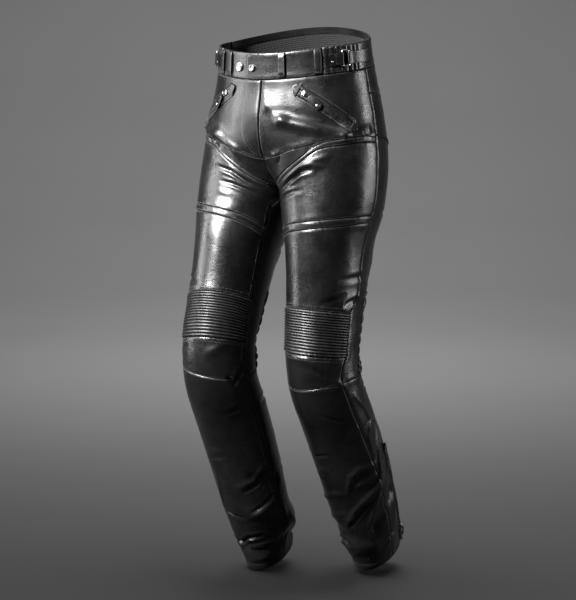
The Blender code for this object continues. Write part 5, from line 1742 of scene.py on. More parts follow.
@dataclass
class Zip:
    """A zip on the cloth: woven tape, teeth, a leather welt along each side, the slider and the pull."""

    garment: "Garment"
    side: Side
    sizes: ZipSizes
    patch: Patch
    length: float
    tape_half: float = 0.0085
    tape_thick: float = 0.0012
    tape_edge: float = 0.0003
    gap: float = 0.0004
    mouth: float = 0.0024
    mouth_open: float = 0.0026
    opened_over: float = 0.0080
    welt_thick: float = 0.0013
    welt_edge: float = 0.0007
    welt_over_tape: float = 0.0003
    welt_fall: float = 0.0012
    welt_stitches_in: float = 0.0016
    cover_length: float = 0.0100
    cover_overlap: float = 0.0035
    cover_tip: float = 0.0020
    cover_edge: float = 0.0006
    cover_over_welt: float = 0.0006
    cover_stitches_in: float = 0.0028
    cover_stitches_at: float = 0.0010
    tooth_pitch: float = 0.0021
    tooth_aside: float = 0.0010
    tooth_half: tuple[float, float] = (0.00042, 0.0017)
    tooth_tall: float = 0.0011
    tooth_shoulder: float = 0.7
    tooth_crown: float = 0.72
    steps: int = 48

    def named(self, piece: str) -> str:
        """The name of one piece of this zip, as the nodes spell it."""
        return f"{self.sizes.kind}_{piece}_{self.side.word}"

    def build(self) -> None:
        """Builds every piece of the zip."""
        tape = self.tape()
        parts = [self.teeth(), self.welt(-1), self.welt(1), self.end_cover(0.0, -1), self.end_cover(self.length, 1)]
        pin = self.pin()
        self.slider(pin)
        Pull(self.garment, self.side, self.sizes, pin, self.named("pull")).build()

    def mouth_at(self, b: float) -> float:
        """How far each welt stays from the middle: farther beside the slider."""
        near = (b - self.length * self.sizes.slider_share) / self.opened_over
        return self.mouth + self.mouth_open * float(np.exp(-(near**2)))

    def tape(self) -> bpy.types.Object:
        """The woven tape."""
        strip = Strip(self.patch, lambda b: even(-self.tape_half, self.tape_half, 6),
                      even(0.0, self.length, self.steps), self.tape_thick, edge_radius=self.tape_edge)
        mesh = strip.mesh(self.named("tape"))
        places = np.stack([strip.a, strip.b], -1).reshape(-1, 2)
        add_cut_map(mesh, np.concatenate([places, places]))
        piece = add_piece(self.named("zip_tape"), mesh, self.garment.makes[Finish.ZIP_CLOTH])
        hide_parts(self.named("zip"))
        return piece

    def teeth(self) -> bpy.types.Object:
        """Two rows of metal teeth that mesh along the middle."""
        count = int(self.length / self.tooth_pitch)
        b = (np.arange(count) + 0.5) * self.length / count
        rows = []
        for way, shift in ((-1, -0.25), (1, 0.25)):
            a = np.full(count, way * self.tooth_aside)
            places = b + shift * self.length / count
            points, normals = self.patch.ground(a, places)
            ahead, _ = self.patch.ground(a, places + 0.001)
            rows.append((points, normals, ahead))
        points, normals, ahead = (np.concatenate(part) for part in zip(*rows))
        way = unit(ahead - points)
        across = unit(np.cross(normals, way))
        up = np.cross(way, across)
        points = points + up * (self.gap + self.tape_thick)
        mesh = repeated(self.named("teeth"), (points, way, across, up), *self.tooth())
        return add_piece(self.named("zip_teeth"), mesh, self.garment.makes[Finish.METAL])

    def tooth(self) -> tuple[Array, list[tuple[int, ...]]]:
        """The points and faces of one tooth: a block with a narrower crown."""
        x, y = self.tooth_half
        levels = ((1.0, 0.0), (1.0, self.tooth_shoulder), (self.tooth_crown, 1.0))
        corners = ((-x, -y), (x, -y), (x, y), (-x, y))
        points = [(a * share, b * share, self.tooth_tall * rise) for share, rise in levels for a, b in corners]
        faces = [(3, 2, 1, 0), (8, 9, 10, 11)]
        for ring in (0, 4):
            faces += [(ring + k, ring + (k + 1) % 4, ring + 4 + (k + 1) % 4, ring + 4 + k) for k in range(4)]
        return np.array(points), faces

    def welt_rise(self, a: Array, b: Array) -> Array:
        """The welts lie on the tape, and come down to the leather outside it."""
        beyond = smooth(np.abs(a), self.tape_half - self.welt_fall, self.tape_half + self.welt_fall)
        return (self.tape_thick + self.welt_over_tape) * (1 - beyond)

    def welt(self, way: int) -> bpy.types.Object:
        """The folded leather along one side of the teeth, with its row of stitches."""
        full = self.sizes.welt_width + self.mouth

        def lines(b: float) -> list[float]:
            """Places across the welt."""
            return [way * a for a in edge_lines(self.mouth_at(b), full, 5, self.welt_edge)]

        strip = Strip(self.patch, lines, even(0.0, self.length, self.steps), self.welt_thick, self.welt_rise,
                      self.welt_edge)
        name = f"{self.named('zip_welt')}_{'upper' if way < 0 else 'lower'}"
        piece = add_piece(name, strip.mesh(name), self.garment.makes[Finish.LEATHER])
        b = np.linspace(0.001, self.length - 0.001, 60)
        strip.row(self.garment.fine_sewing, np.full_like(b, way * (full - self.welt_stitches_in)), b)
        return piece

    def end_cover(self, at: float, way: int) -> bpy.types.Object:
        """The stitched leather that closes one end of the welts, pointed like the end of a dart."""
        full = self.sizes.welt_width + self.mouth
        inner, tip = at - way * self.cover_overlap, at + way * self.cover_length

        def lines(b: float) -> list[float]:
            """Places across the cover."""
            half = float(np.interp(abs(b - tip), (0.0, self.cover_length), (self.cover_tip, full)))
            return edge_lines(-half, half, 6, self.cover_edge)

        places = edge_lines(min(inner, tip), max(inner, tip), 8, self.cover_edge)
        strip = Strip(self.patch, lines, places, self.welt_thick,
                      lambda a, b: self.welt_rise(a, b) + self.cover_over_welt, self.cover_edge)
        name = f"{self.named('zip_end')}_{'top' if way < 0 else 'foot'}"
        piece = add_piece(name, strip.mesh(name), self.garment.makes[Finish.LEATHER])
        half = full - self.cover_stitches_in
        a = np.linspace(-half, half, 20)
        strip.row(self.garment.fine_sewing, a, np.full_like(a, at - way * self.cover_stitches_at))
        return piece

    def pin(self) -> Matrix:
        """The frame of the pin that the pull turns on: X runs down the zip, Y along the joint's axis."""
        joint = next(joint for joint in frame["joints"] if joint["child"] == self.named("pull"))
        guess = self.patch.frame(b=self.length * self.sizes.slider_share)
        y_way = Vector(joint["axis"]).normalized()
        if y_way.dot(guess.col[1].xyz) < 0:
            y_way.negate()
        z_way = (guess.col[2].xyz - guess.col[2].xyz.dot(y_way) * y_way).normalized()
        turn = Matrix((y_way.cross(z_way), y_way, z_way)).transposed().to_4x4()
        return Matrix.Translation(Vector(joint["pos_m"])) @ turn

    def slider(self, pin: Matrix) -> None:
        """The slider's body, with the two ears and the pin of its bridge.

        Args:
            pin: The frame of the pin.
        """
        sizes = self.sizes
        body_x, body_y, body_z = sizes.body
        ear_x, ear_y, ear_z = sizes.ear
        pin_height = body_z + ear_z - 1.6 * sizes.pin_radius
        foot = 0.0006
        x, y = body_x / 2, body_y / 2
        outline = [(-x, 0.80 * y), (-0.85 * x, y), (-0.15 * x, y), (0.75 * x, 0.66 * y), (x, 0.45 * y)]
        outline += [(a, -b) for a, b in outline[::-1]]
        parts = [plate(outline, -foot, body_z, 0.0005)]
        side_view = [(-0.50 * ear_x, body_z - foot), (0.50 * ear_x, body_z - foot),
                     (0.36 * ear_x, body_z + ear_z), (-0.36 * ear_x, body_z + ear_z)]
        for way in (-1, 1):
            ear = solid_from_outline(side_view, ear_y, 0.0003)
            ear.transform(Matrix.Translation((0, way * sizes.ear_spread, 0)))
            parts.append(ear)
        rod = bmesh.new()
        bmesh.ops.create_cone(rod, cap_ends=True, segments=16, radius1=sizes.pin_radius, radius2=sizes.pin_radius,
                              depth=2 * sizes.ear_spread + 1.3 * ear_y)
        rod.transform(Matrix.Translation((0, 0, pin_height)) @ Matrix.Rotation(pi / 2, 4, "X"))
        parts.append(rod)
        mesh = one_mesh("slider", parts, pin @ Matrix.Translation((0, 0, -pin_height)))
        slider = add_piece(self.named("slider_metal"), mesh, self.garment.makes[Finish.METAL], sharp=METAL_SHARP)
        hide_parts(self.named("slider"))


@dataclass
class Pull:
    """A zip's pull, which swings on the slider's pin: metal link, stitched leather tab and rivet."""

    garment: "Garment"
    side: Side
    sizes: ZipSizes
    pin: Matrix
    body: str
    clearance: float = 0.0003
    hook_from: float = 30.0
    hook_to: float = 300.0
    link_bevel: float = 0.0002
    tab_overlap: float = 0.0025
    tab_bevel: float = 0.0005
    tab_sharp: float = 50.0
    stitches_in: float = 0.0013
    rivet_height: float = 0.0011

    def build(self) -> None:
        """Builds the three pieces and the tab's stitches."""
        hang = self.pin @ Matrix.Rotation(radians(self.sizes.droop), 4, "Y")
        self.link(hang)
        link_x = self.sizes.link[0]
        turn = Matrix.Rotation(radians(self.sizes.tab_turn * self.side.value), 4, "Z")
        self.tab(hang @ Matrix.Translation((link_x - self.tab_overlap, 0, 0)) @ turn)

    def link(self, hang: Matrix) -> None:
        """The link, hooked round the pin."""
        link_x, link_y, link_z = self.sizes.link
        inner = self.sizes.pin_radius + self.clearance
        outer = inner + 0.8 * link_z
        turns = even(radians(self.hook_from), radians(self.hook_to), 14)
        hook = [(outer * cos(t), outer * sin(t)) for t in turns]
        hook += [(inner * cos(t), inner * sin(t)) for t in turns[::-1]]
        top = outer * sin(turns[0])
        hook = [(link_x, top)] + hook + [(link_x, top - link_z)]
        mesh = one_mesh("link", [solid_from_outline(hook, link_y, self.link_bevel)], hang)
        link = add_piece(f"{self.body}_link", mesh, self.garment.makes[Finish.METAL], self.body, METAL_SHARP)
        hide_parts(self.body)

    def tab(self, place: Matrix) -> None:
        """The leather tab with its stitches and its rivet."""
        tab_x, tab_y, tab_z = self.sizes.tab
        name = f"{self.body}_tab"
        leather = plate(self.tab_outline(0.0), -tab_z / 2, tab_z / 2, self.tab_bevel)
        add_piece(name, one_mesh(name, [leather], place), self.garment.makes[Finish.LEATHER], self.body,
                  self.tab_sharp)
        sewing = Sewing()
        line = [place @ Vector((x, y, tab_z / 2)) for x, y in self.tab_outline(self.stitches_in)]
        up = np.array((place.to_3x3() @ Vector((0, 0, 1))).normalized())
        points = np.array([*line, line[0]])
        sewing.add(points, np.repeat(up[None], len(points), 0))
        thread = Make(self.garment.thread, Finish.LEATHER)
        add_piece(f"{self.body}_stitches", sewing.mesh(name, None), thread, self.body)
        head = dome(self.sizes.rivet_radius, self.rivet_height, tab_z + 0.0004)
        seat = place @ Matrix.Translation((tab_x - 0.42 * tab_y, 0, tab_z / 2))
        rivet = turned(f"{self.body}_rivet", head, seat, 24)
        bright = Make(self.garment.bright_metal, Finish.METAL)
        add_piece(f"{self.body}_rivet", rivet, bright, self.body, METAL_SHARP)

    def tab_outline(self, inset: float) -> list[tuple[float, float]]:
        """The outline of the pull's leather, narrower at the link and round at its end."""
        tab_x, tab_y, _ = self.sizes.tab
        half, start = tab_y / 2 - inset, 0.72 * tab_y / 2 - inset
        centre, shoulder, foot = tab_x - tab_y / 2, 0.35 * tab_x, inset + 0.0012
        tip = [(centre + half * cos(t), half * sin(t)) for t in even(-pi / 2, pi / 2, 14)]
        return [(foot, -start), (shoulder, -half), *tip, (shoulder, half), (foot, start), (inset, 0.6 * start),
                (inset, -0.6 * start)]


@dataclass
class Fly:
    """The placket's outer layer, on the wearer's right of centre front, ending in a curve at the seam."""

    garment: "Garment"
    width: float = 0.034
    straight: float = 0.092
    bend: float = 0.048
    top: float = 0.0015
    narrowest: float = 0.004
    roundness: float = 2.2
    thick: float = 0.0012
    edge: float = 0.0006
    edge_radius: float = 0.0007
    stitch_insets: tuple[float, float] = (0.0022, 0.0075)
    stitches_end: float = 0.002
    area_share: float = 0.92

    def reach(self, b: float) -> float:
        """How far the placket reaches from centre front, at a distance down."""
        share = min(max(b - self.straight, 0.0) / self.bend, 1.0)
        return max(self.width * (1 - share**self.roundness) ** 0.5, self.narrowest)

    def build(self) -> None:
        """Lays the placket on the right front, with its two rows of stitches."""
        garment, foot = self.garment, self.straight + self.bend
        places = edge_lines(self.top, self.straight, 26, self.edge) + even(self.straight, foot, 30)[1:]
        strip = Strip(garment.patch(Side.RIGHT, 0.0, 0.0),
                      lambda b: edge_lines(self.edge, self.reach(b), 8, self.edge), places, self.thick,
                      edge_radius=self.edge_radius)
        piece = add_piece("fly_placket_cloth", strip.mesh("fly_placket"), garment.makes[Finish.LEATHER])
        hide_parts("fly_placket")
        garment.add_skin(Side.RIGHT, piece.data)
        for inset in self.stitch_insets:
            b = np.linspace(self.top + self.stitches_end, foot - 1.6 * inset - self.stitches_end, 60)
            reaches = [self.reach(float(x + 0.5 * inset * (x > self.straight))) for x in b]
            strip.row(garment.fine_sewing, np.maximum(np.array(reaches) - inset, 0.0015), b)


@dataclass
class BeltLoops:
    """Five loops, sewn at both ends and standing a little off the band between them."""

    garment: "Garment"
    places: tuple[tuple[str, Side, float], ...] = (
        ("front_left", Side.LEFT, 0.088),
        ("front_right", Side.RIGHT, 0.172),
        ("side_left", Side.LEFT, 0.236),
        ("side_right", Side.RIGHT, 0.236),
    )
    half_width: float = 0.0062
    thick: float = 0.0018
    stand_off: float = 0.0020
    top: float = WAIST_TOP + 0.003
    foot: float = -0.002
    sewn_end: float = 0.009
    edge: float = 0.0006
    edge_radius: float = 0.0007
    stitches_in: float = 0.0017
    bar_tack_at: float = 0.0035
    bar_tack_half: float = 0.0007

    def rise(self, a: Array, b: Array) -> Array:
        """How far a loop stands off the band, the same all across."""
        return self.stand_off * smooth(np.minimum(b - self.top, self.foot - b) / self.sewn_end, 0.0, 1.0)

    def build(self) -> None:
        """Builds the five loops."""
        garment = self.garment
        for name, side, u in self.places:
            self.loop(name, garment.patch(side, u, 0.0))
        left, right = Side.LEFT, Side.RIGHT
        patch = BackPatch(garment.cloths[left], garment.tree(left), garment.cloths[right], garment.tree(right))
        self.loop("back", patch)

    def loop(self, name: str, patch: Patch) -> None:
        """Builds one loop.

        Args:
            name: Where it is, as its node's name ends.
            patch: The band under it.
        """
        strip = Strip(patch, lambda b: edge_lines(-self.half_width, self.half_width, 4, self.edge),
                      edge_lines(self.top, self.foot, 18, self.edge), self.thick, self.rise, self.edge_radius)
        node = f"belt_loop_{name}"
        piece = add_piece(f"{node}_leather", strip.mesh(node), self.garment.makes[Finish.LEATHER])
        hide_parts(node)
        b = np.linspace(self.top + 0.0015, self.foot - 0.0015, 30)
        for way in (-1, 1):
            strip.row(self.garment.fine_sewing, np.full_like(b, way * (self.half_width - self.stitches_in)), b)
        a = np.linspace(-self.half_width + 0.0008, self.half_width - 0.0008, 12)
        for end in (self.top + self.bar_tack_at, self.foot - self.bar_tack_at):
            for shift in (-self.bar_tack_half, self.bar_tack_half):
                strip.row(self.garment.fine_sewing, a, np.full_like(a, end + shift))


@dataclass
class Snaps:
    """The snap on the lapped tab and the one on the right front beside it."""

    garment: "Garment"
    snaps: tuple[tuple[str, float, float], ...] = (("waist_snap_tab", 0.040, 0.0062),
                                                   ("waist_snap_front", 0.112, 0.0085))
    profile: tuple[tuple[float, float], ...] = ((0.0, 0.78), (0.40, 0.80), (0.58, 0.86), (0.66, 0.96), (0.76, 1.0),
                                                (0.88, 0.94), (0.97, 0.72), (1.0, 0.42), (1.0, -0.25), (0.0, -0.25))
    height: float = 0.0030
    down: float = -0.0205
    seat: float = 0.0004
    around: int = 40

    def build(self) -> None:
        """Builds both caps: a raised rim round a shallow middle."""
        for name, u, radius in self.snaps:
            patch = self.garment.patch(Side.RIGHT, u, self.down)
            sized = tuple((r * radius, h * self.height) for r, h in self.profile)
            mesh = turned(name, sized, patch.frame(height=self.seat), self.around)
            piece = add_piece(f"{name}_cap", mesh, self.garment.makes[Finish.METAL], sharp=METAL_SHARP)
            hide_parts(name)


@dataclass
class Adjuster:
    """A side adjuster: a leather anchor, a rectangular metal ring and the strap folded through it."""

    garment: "Garment"
    side: Side
    place: tuple[float, float] = (0.362, -0.0225)
    ring_length: float = 0.0125
    ring_width: float = 0.0270
    ring_corner: float = 0.003
    wire: float = 0.0012
    slack: float = 0.0002
    base: float = 0.0019
    thick: float = 0.0013
    layer_gap: float = 0.0003
    half_width: float = 0.0105
    edge: float = 0.0006
    stitches_in: float = 0.0019
    anchor_ends: tuple[float, float] = (-0.0270, -0.0180)
    strap_ends: tuple[float, float] = (0.0600, 0.0520)
    rivet_place: tuple[float, float] = (-0.0215, 0.0035)

    def __post_init__(self) -> None:
        """Lays the adjuster on the plain cloth, and works out the height of the ring's bars."""
        self.patch = Patch(self.garment.cloths[self.side], None, *self.place)
        self.bar_height = self.base + self.thick + self.wire + self.slack

    def build(self) -> None:
        """Builds the anchor, the strap, the ring and the rivet."""
        self.folded("adjuster_anchor", -self.ring_length / 2, self.anchor_ends)
        self.folded("adjuster_strap", self.ring_length / 2, self.strap_ends)
        bright = Make(self.garment.bright_metal, Finish.METAL)
        ring = add_piece(f"adjuster_ring_{self.side.word}_wire", self.ring(), bright)
        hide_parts(f"adjuster_ring_{self.side.word}")
        a, b = self.rivet_place
        seat = self.patch.frame(a=a, b=b, height=self.base + 2 * self.thick + self.slack)
        rivet = turned("rivet", dome(0.0017, 0.0008, 0.0004), seat, 20)
        add_piece(f"adjuster_rivet_{self.side.word}", rivet, bright, sharp=METAL_SHARP)

    def ring(self) -> bpy.types.Mesh:
        """The ring: round wire along a rectangle with round corners."""
        corner, around = self.ring_corner, 12
        x, y = self.ring_width / 2 - corner, self.ring_length / 2 - corner
        path = []
        for across, along, start in ((1, 1, 0), (-1, 1, 90), (-1, -1, 180), (1, -1, 270)):
            turns = even(radians(start), radians(start + 90), 6)
            path += [(across * x + corner * cos(t), along * y + corner * sin(t), 0.0) for t in turns]
        middle = np.array(path)
        out = np.cross(unit(np.roll(middle, -1, 0) - np.roll(middle, 1, 0)), (0.0, 0.0, 1.0))
        turns = np.arange(around) * 2 * pi / around
        aside = np.cos(turns)[None, :, None] * out[:, None]
        upward = np.sin(turns)[None, :, None] * np.array((0.0, 0.0, 1.0))
        points = middle[:, None] + self.wire * (aside + upward)
        count = len(path)
        faces = []
        for k in range(count):
            here, beyond = k * around, (k + 1) % count * around
            for n in range(around):
                m = (n + 1) % around
                faces.append((here + n, beyond + n, beyond + m, here + m))
        mesh = bpy.data.meshes.new("ring")
        mesh.from_pydata(points.reshape(-1, 3).tolist(), [], faces)
        mesh.transform(self.patch.frame(height=self.bar_height))
        return mesh

    def folded(self, kind: str, bar: float, ends: tuple[float, float]) -> None:
        """A strap that comes from its sewn end, goes round one bar of the ring and lies back on itself.

        Args:
            kind: The node's name without its side.
            bar: Where the bar is.
            ends: Where the strap is sewn, and where its fold ends.
        """
        sewn, fold_end = ends
        way = 1.0 if sewn > bar else -1.0
        bend_from = bar + way * 0.005
        radius = self.wire + self.slack + self.thick / 2
        low, high = self.base + self.thick / 2, self.base + 1.5 * self.thick + self.layer_gap
        path = [(float(a), low) for a in np.linspace(sewn, bend_from, 14)]
        path += [(bar - way * radius * cos(t), self.bar_height - radius * sin(t)) for t in even(pi / 2, -pi / 2, 10)]
        path += [(float(a), high) for a in np.linspace(bend_from, fold_end, 12)]
        a, h = np.array(path).T
        tangent = unit(np.stack([np.gradient(a), np.gradient(h)], -1))
        across = np.stack([-tangent[:, 1], tangent[:, 0]], -1)
        b = np.array(edge_lines(-self.half_width, self.half_width, 6, self.edge))
        half = (self.thick - soft_edge(self.half_width - np.abs(b), self.edge)) / 2
        grids = []
        for face in (1, -1):
            places_a = a[:, None] + across[:, :1] * face * half[None]
            places_h = h[:, None] + across[:, 1:] * face * half[None]
            points, normals = self.patch.ground(places_a, np.broadcast_to(b[None], places_a.shape))
            grids.append(points + normals * places_h[..., None])
        worn = np.broadcast_to(1 - smooth(self.half_width - np.abs(b), 0.0002, 0.0020), grids[0].shape[:2])
        node = f"{kind}_{self.side.word}"
        mesh = closed_sheet(node, *grids, edge=worn)
        piece = add_piece(f"{node}_leather", mesh, self.garment.makes[Finish.LEATHER])
        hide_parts(node)
        self.sew_fold(bar, fold_end, way, high + self.thick / 2)

    def sew_fold(self, bar: float, fold_end: float, way: float, top: float) -> None:
        """Sews the two layers of a folded strap together, along its sides and across both ends of the fold.

        Args:
            bar: Where the bar is.
            fold_end: Where the fold ends.
            way: The direction from the bar to the fold's end, 1 or -1.
            top: Height of the upper layer's face.
        """
        run = np.linspace(bar + way * 0.0055, fold_end - way * 0.0015, 24)
        side = self.half_width - self.stitches_in
        rows = [(run, np.full_like(run, -side)), (run, np.full_like(run, side))]
        run = np.linspace(-self.half_width + 0.0016, self.half_width - 0.0016, 12)
        rows += [(np.full_like(run, end), run) for end in (fold_end - way * 0.0020, bar + way * 0.0075)]
        for a, b in rows:
            points, normals = self.patch.ground(a, b)
            self.garment.fine_sewing.add(points + normals * top, normals)


def beside(seam: int, down: bool, first: float, last: float, *offsets: float) -> tuple[StitchRow, ...]:
    """Rows of stitches beside one seam, at offsets from it in millimetres."""
    return tuple(StitchRow(seam, down, (first, last), offset / 1000) for offset in offsets)


STITCHES = (
    *beside(OUTER, True, WAIST, BAND_TOP, -2.2, -7.4, 2.2),
    *beside(OUTER, True, BAND_LOW, ACCORDION_TOP, -2.2, 2.2),
    *beside(OUTER, True, ACCORDION_LOW, HEM_ROW, -2.2, 2.2),
    *beside(FRONT, True, WAIST, BAND_TOP, 2.4),
    *beside(FRONT, True, BAND_LOW, ACCORDION_TOP, 2.2, 7.4),
    *beside(FRONT, True, ACCORDION_LOW, HEM_ROW, 2.2, 7.4),
    *beside(BACK, True, WAIST, BAND_LOW, -2.2, -7.4),
    *beside(BACK, True, BAND_LOW, HEM_ROW, -2.2),
    *beside(THIGH, True, HIP_LOW, BAND_TOP, -2.2, 2.2),
    *beside(CALF_ZIP, True, KNEECAP_LOW, HEM_ROW, -11.0, 11.0),
    *beside(STRETCH_FROM, True, STRETCH_TOP, KNEECAP_LOW, -2.2),
    *beside(STRETCH_TO, True, STRETCH_TOP, KNEECAP_LOW, 2.2),
    *beside(TOP_ROW, False, FRONT, BACK, 3.0),
    *beside(WAIST, False, FRONT, BACK, -2.4, -6.6, 2.2),
    *beside(YOKE_LOW, False, OUTER, BACK, -2.2, -7.4, 2.2),
    *beside(HIP_LOW, False, FRONT, THIGH, -2.2, 2.2),
    *beside(BAND_TOP, False, THIGH, OUTER, -2.2),
    *beside(BAND_TOP, False, FRONT, OUTER, 2.0),
    *beside(BAND_LOW, False, FRONT, OUTER, -2.0, 2.2),
    *beside(THIGH_BAND_TOP, False, FRONT, OUTER, -2.2, 2.0),
    *beside(THIGH_BAND_LOW, False, FRONT, OUTER, -2.0, 2.2),
    *beside(STRETCH_TOP, False, STRETCH_FROM, STRETCH_TO, -2.2),
    *beside(ACCORDION_TOP, False, FRONT, OUTER, -2.2, -7.4),
    *beside(ACCORDION_LOW, False, FRONT, OUTER, 2.2, 7.4),
    *beside(KNEECAP_LOW, False, FRONT, BACK, -2.2, 2.2),
    *beside(HEM_ROW, False, FRONT, BACK, -12.0),
)


@dataclass
class Waist:
    """The left front and the back of the waistband, and the net with its binding inside the back."""

    garment: "Garment"
    tab_shape: tuple[tuple[float, float], ...] = ((0.002, 1.0), (0.014, 1.0), (0.028, 1.0), (0.042, 1.0),
                                                  (0.056, 0.95), (0.066, 0.80), (0.072, 0.52))
    tab_tip: tuple[float, ...] = (0.072, 0.0714, 0.0702, 0.0684)
    tab_run: tuple[float, float, int] = (0.0655, 0.002, 22)
    tab_gap: float = 0.0007
    own_from: float = 0.006
    settle: tuple[float, float] = (0.020, 0.085)
    lining_wall: float = 0.0010
    lining_gap: float = 0.0005
    lining_rows: int = WAIST + 2
    binding_wall: float = 0.0009
    binding_gap: float = 0.0003
    binding_width: float = 0.008

    def build(self) -> None:
        """Builds the band's two pieces, the net and the binding."""
        self.front_left()
        self.back()
        self.lining()

    def front_left(self) -> None:
        """The left front of the band, whose tab laps over the right front and ends round."""
        proud = self.garment.wall + self.tab_gap
        left, right = self.garment.cloths[Side.LEFT], self.garment.cloths[Side.RIGHT]
        rows = slice(0, left.row_start[WAIST] + 1)
        downs = left.v[0, rows]
        middle = (downs[0] + downs[-1]) / 2
        tab = np.array([*self.tab_tip, *even(*self.tab_run)])
        shares = through(*np.array(self.tab_shape).T, tab)
        v = middle + (downs[None] - middle) * shares[:, None]
        u = np.repeat(tab[:, None], v.shape[1], 1)
        points, normals, _, _ = right.surface(u, v)
        points = points + normals * proud
        first = int(np.searchsorted(left.u[:, 0], self.own_from))
        last = left.column_start[THIGH]
        first += (len(tab) + last - first) % 2
        own = slice(first, last + 1)
        fall = proud * (1 - smooth(left.u[own, rows], *self.settle))
        points = np.concatenate([points, left.points[own, rows] + left.normals[own, rows] * fall[..., None]])
        normals = np.concatenate([normals, left.normals[own, rows]])
        self.band("waistband_front_left", points, normals)

    def back(self) -> None:
        """The back of the band, from one shirred zone round to the other."""
        points, normals, _ = self.back_strip(WAIST)
        self.band("waistband_back", points, normals)

    def band(self, node: str, points: Array, normals: Array) -> None:
        """One piece of the band that covers the whole of its grid, and that both sides' stitches may lie on."""
        cells = np.ones((len(points) - 1, points.shape[1] - 1), bool)
        self.garment.shell(node, Grid(points, normals, -1), cells, Finish.LEATHER, relief=BAND_RELIEF,
                           sides=(Side.LEFT, Side.RIGHT))

    def lining(self) -> None:
        """The net inside the back of the waist, and the binding along its top."""
        points, normals, cut = self.back_strip(self.lining_rows)
        starts = self.garment.cloths[Side.LEFT].column_start
        skip = starts[SHIRR_TO + 2] - starts[SHIRR_TO]
        cells = np.zeros((len(points) - 1, points.shape[1] - 1), bool)
        cells[skip:-skip] = True
        depth = self.garment.wall + self.lining_gap
        piece = self.garment.shell("waist_mesh_lining", Grid(points - normals * depth, normals, -1), cells,
                                   Finish.MESH, relief=None, thickness=self.lining_wall, held="hung", cut=cut)
        last = int(np.searchsorted(cut[0, :, 1], WAIST_TOP + self.binding_width)) // 2 * 2
        bound = np.zeros_like(cells)
        bound[skip:-skip, :last] = True
        depth += self.lining_wall + self.binding_gap
        made = Shell(Grid(points - normals * depth, normals, -1), bound, self.binding_wall, None, 0.0)
        binding = add_piece("waist_binding", made.mesh("waist_binding"), self.garment.makes[Finish.LEATHER])

    def back_strip(self, last_row: int) -> tuple[Array, Array, Array]:
        """The cloth from one shirred zone round the back to the other.

        Args:
            last_row: The lattice row that it goes down to, from the waist's top.

        Returns:
            The points, the outward directions and each point's place on the flat cut.
        """
        left, right = self.garment.cloths[Side.LEFT], self.garment.cloths[Side.RIGHT]
        span = slice(left.column_start[SHIRR_TO], len(left.columns))
        rows = slice(0, left.row_start[last_row] + 1)
        points = np.concatenate([left.points[span, rows], right.points[span, rows][-2::-1]])
        normals = np.concatenate([left.normals[span, rows], right.normals[span, rows][-2::-1]])
        run = np.linalg.norm(np.diff(points[:, 0], axis=0), axis=-1)
        along = np.concatenate([[0.0], np.cumsum(run)])
        cut = np.stack(np.meshgrid(along, left.v[left.column_start[BACK], rows], indexing="ij"), -1)
        return points, normals, cut


